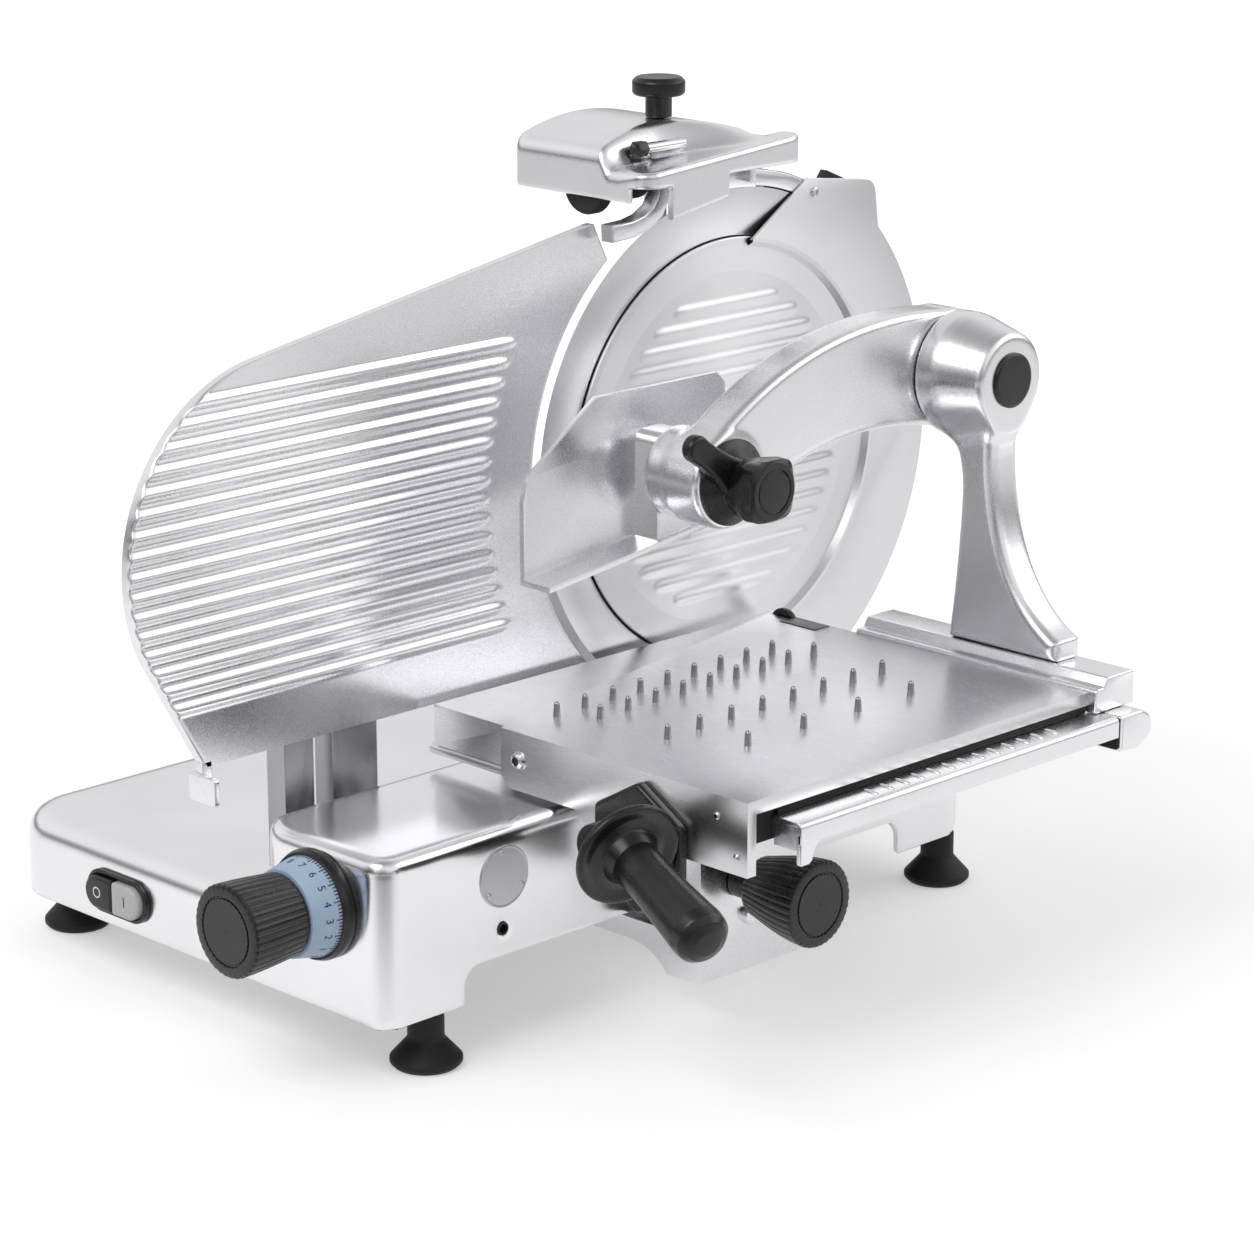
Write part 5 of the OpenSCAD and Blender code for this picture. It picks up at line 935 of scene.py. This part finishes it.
def textMesh(body, size):
    # the filled outline of a short text, as flat points centred on it and faces
    curve = bpy.data.curves.new("digits", "FONT")
    curve.body, curve.size, curve.align_x, curve.align_y = body, size, "CENTER", "CENTER"
    holder = bpy.data.objects.new("digits", curve)
    scene.collection.objects.link(holder)
    flat = bpy.data.meshes.new_from_object(holder.evaluated_get(bpy.context.evaluated_depsgraph_get()))
    spots = np.empty(3 * len(flat.vertices))
    flat.vertices.foreach_get("co", spots)
    faces = [list(p.vertices) for p in flat.polygons]
    bpy.data.objects.remove(holder)
    return spots.reshape(-1, 3)[:, :2], faces


def scaleMarks(f):
    # raised ticks as small boxes, five to a figure, and the figures wrapped round the ring
    first, step = math.radians(f["firstTurn"]), math.radians(f["sweep"] / f["last"])
    ticks = first + step / 5 * np.arange(5 * f["last"] + 1)
    long = np.where(np.arange(len(ticks)) % 5 == 0, *f["tickLong"])
    corners = [(side, along, lift) for lift in (0.0, 0.16)
               for side, along in ((-1, 0), (1, 0), (1, 1), (-1, 1))]
    boxes = [onScale(ticks + side * f["tickHalf"] / 33, 0.8 + along * long, lift)
             for side, along, lift in corners]
    spots = [np.stack(boxes, 1).reshape(-1, 3)]
    box = np.array([(4, 5, 6, 7), (0, 1, 5, 4), (1, 2, 6, 5), (2, 3, 7, 6), (3, 0, 4, 7)])
    faces = (8 * np.arange(len(ticks))[:, None, None] + box[None]).reshape(-1, 4).tolist()
    start = len(spots[0])
    for k in range(f["last"] + 1):
        flat, shape = textMesh(str(k), f["figure"])
        spots.append(onScale(first + step * k - flat[:, 0] / 31.5, f["figureAlong"] - flat[:, 1], 0.14))
        faces += [[v + start for v in face] for face in shape]
        start += len(flat)
    return markMesh("dialMarks", np.concatenate(spots), faces)


wideY, narrowY, wideR, narrowR = (scaleForm[key] for key in ("wideY", "narrowY", "wideR", "narrowR"))
dress("dial_scale", [turnSoft(
    [(wideY + 4, 0.01), (wideY + 4, wideR), (wideY, wideR), (narrowY, narrowR), (narrowY, 0.01)], 0.6,
    scaleForm["centre"], "y", 144)])
addPiece("dialMarks", "dial", "markInk", scaleMarks(scaleForm))
dress("dial_bezel", [turnSoft(
    [(-449.0, 30.0), (-449.0, 36.5), (-454.0, 36.5), (-458.0, 35.0), (-458.0, 33.7), (-452.5, 33.7),
     (-452.5, 30.0)],
    1.6, scaleForm["centre"], "y", 144)])


switchForm = {"size": 11.0, "offPlace": (-149.0, -457.58, 63.0), "onPlace": (-119.5, -457.58, 63.0)}


def switchMark(name, body, text, look, centre):
    flat, shape = textMesh(text, switchForm["size"])
    spots = np.stack([centre[0] + flat[:, 0], np.full(len(flat), centre[1]), centre[2] + flat[:, 1]], 1)
    addPiece(name, body, look, markMesh(name, spots, shape))


switchMark("offMark", "off", "O", "markPaint", switchForm["offPlace"])
switchMark("onMark", "on", "I", "markInk", switchForm["onPlace"])
print("base, table and dial built")

# the floor's colour for glossy rays holds painted light near the object and in a pool at its right, and
# painted shade further out and towards the camera; floorGlow and farGlow set its glow near and far
studio = {"floorSize": 14.0, "floorLevel": 0.80, "floorGlow": 0.40, "farGlow": 0.75, "floorFade": 0.60,
          "patchLevel": 1.15, "shadeLevel": 0.22, "worldLevel": 0.52,
          "near": {"middle": (0.0, 0.0, 0.0), "reach": (0.45, 1.6)},
          "patch": {"middle": (0.75, 1.15, 0.0), "reach": (0.0, 0.65)},
          "shade": {"middle": (0.85, -0.90, 0.0), "reach": (0.40, 1.0)},
          # the room as metal shows it, by the sine of the height angle: dim at the horizon, white band,
          # dim overhead
          "sky": [(0.0, 0.20), (0.09, 0.36), (0.21, 0.94), (0.42, 0.95), (0.66, 0.90), (1.0, 0.36)],
          # dimmer straight behind the object, low behind the camera and low at the front left: way,
          # start, level
          "dims": [((-0.68, 0.68, 0.27), 0.70, 0.88), ((0.70, -0.70, 0.10), 0.80, 0.40),
                   ((-0.35, -0.93, 0.06), 0.85, 0.12)]}


def orRays(tree, *names):
    # 1 for rays of any of the named kinds
    rays = addNode(tree, "LightPath")
    value = rays.outputs[names[0]]
    for name in names[1:]:
        value = joinValues(tree, "MAXIMUM", value, rays.outputs[name])
    return value


floorMesh = bpy.data.meshes.new("floor")
half = studio["floorSize"] / 2
floorMesh.from_pydata([(-half, -half, 0), (half, -half, 0), (half, half, 0), (-half, half, 0)], [],
                      [(0, 1, 2, 3)])
floor = bpy.data.objects.new("floor", floorMesh)
scene.collection.objects.link(floor)
floorMat, floorTree, floorShader = startMaterial("paleFloor")
floorShader.inputs["Roughness"].default_value = 0.9
floorShader.inputs["Specular IOR Level"].default_value = 0.0
floorShader.inputs["Emission Color"].default_value = grey(1.0)
floorSpot = pieceCoords(floorTree)


def floorTone(form, first, last):
    # first near the middle of the form, last beyond its reach
    away = joinVectors(floorTree, "DISTANCE", floorSpot, form["middle"])
    return mapRange(floorTree, away, (first, last), form["reach"], interpolation_type="SMOOTHSTEP")


# the floor as metal shows it, painted into its colour for glossy rays only: painted light near the object and
# in a pool at its right, painted shade further out and towards the camera
litFloor = joinValues(floorTree, "MAXIMUM", floorTone(studio["near"], 1.0, studio["floorFade"]),
                      floorTone(studio["patch"], studio["patchLevel"], 0.0))
litFloor = joinValues(floorTree, "MULTIPLY", litFloor, floorTone(studio["shade"], studio["shadeLevel"], 1.0))
shown = mapRange(floorTree, orRays(floorTree, "Is Glossy Ray"), (1.0, litFloor))
feed(floorShader.inputs["Base Color"], joinValues(floorTree, "MULTIPLY", shown, studio["floorLevel"]))
seenRays = orRays(floorTree, "Is Camera Ray", "Is Glossy Ray", "Is Transmission Ray")
glow = mapRange(floorTree, seenRays, (0.0, floorTone(studio["near"], studio["floorGlow"], studio["farGlow"])))
feed(floorShader.inputs["Emission Strength"], joinValues(floorTree, "MULTIPLY", glow, shown))
floorMesh.materials.append(floorMat)

world = bpy.data.worlds.new("studioWorld")
scene.world = world
world.use_nodes = True
worldTree = world.node_tree
background = worldTree.nodes["Background"]
background.inputs["Color"].default_value = grey(1.0)
skyWay = addNode(worldTree, "TexCoord").outputs["Generated"]
skyParts = addNode(worldTree, "SeparateXYZ", Vector=skyWay)
skyRamp = addNode(worldTree, "ValToRGB", Fac=skyParts.outputs["Z"])
while len(skyRamp.color_ramp.elements) < len(studio["sky"]):
    skyRamp.color_ramp.elements.new(0.5)
for element, (spot, level) in zip(skyRamp.color_ramp.elements, studio["sky"]):
    element.position, element.color = spot, grey(level)
room = skyRamp.outputs["Color"]
for way, start, level in studio["dims"]:
    dim = mapRange(worldTree, joinVectors(worldTree, "DOT_PRODUCT", skyWay, way), (1.0, level), (start, 1.0))
    room = joinValues(worldTree, "MULTIPLY", room, dim)
plain = mapRange(worldTree, orRays(worldTree, "Is Camera Ray", "Is Transmission Ray"),
                 (studio["worldLevel"], 1.0))
feed(background.inputs["Strength"], mapRange(worldTree, orRays(worldTree, "Is Glossy Ray"), (plain, room)))

softboxes = {"keySoftbox": {"place": (0.1, -1.9, 2.2), "size": (1.8, 1.4), "power": 27.0},
             "sideSoftbox": {"place": (1.5, 1.9, 1.6), "size": (2.0, 1.6), "power": 11.0}}
softboxAim = Vector((0, 0, 0.25))


def addSoftbox(name, form):
    lamp = bpy.data.lights.new(name, "AREA")
    lamp.shape = "RECTANGLE"
    lamp.size, lamp.size_y = form["size"]
    lamp.energy = form["power"]
    return bpy.data.objects.new(name, lamp)


def aim(thing, place, way):
    # lamps and the camera look along their own -z
    thing.location = place
    thing.rotation_mode = "QUATERNION"
    thing.rotation_quaternion = way.to_track_quat("-Z", "Y")
    scene.collection.objects.link(thing)


for name, form in softboxes.items():
    aim(addSoftbox(name, form), form["place"], softboxAim - Vector(form["place"]))

view = {"lens": 110.18, "sensor": 36.0, "place": (1.797346, -1.7623, 0.940), "azimuth": 45.08,
        "elevation": 15.83}
lens = bpy.data.cameras.new("camera")
lens.lens, lens.sensor_width = view["lens"], view["sensor"]
camera = bpy.data.objects.new("camera", lens)
turn, tilt = math.radians(view["azimuth"]), math.radians(view["elevation"])
aim(camera, view["place"], Vector((-math.sin(turn) * math.cos(tilt), math.cos(turn) * math.cos(tilt),
                                   -math.sin(tilt))))
scene.camera = camera
print("camera and lights placed")
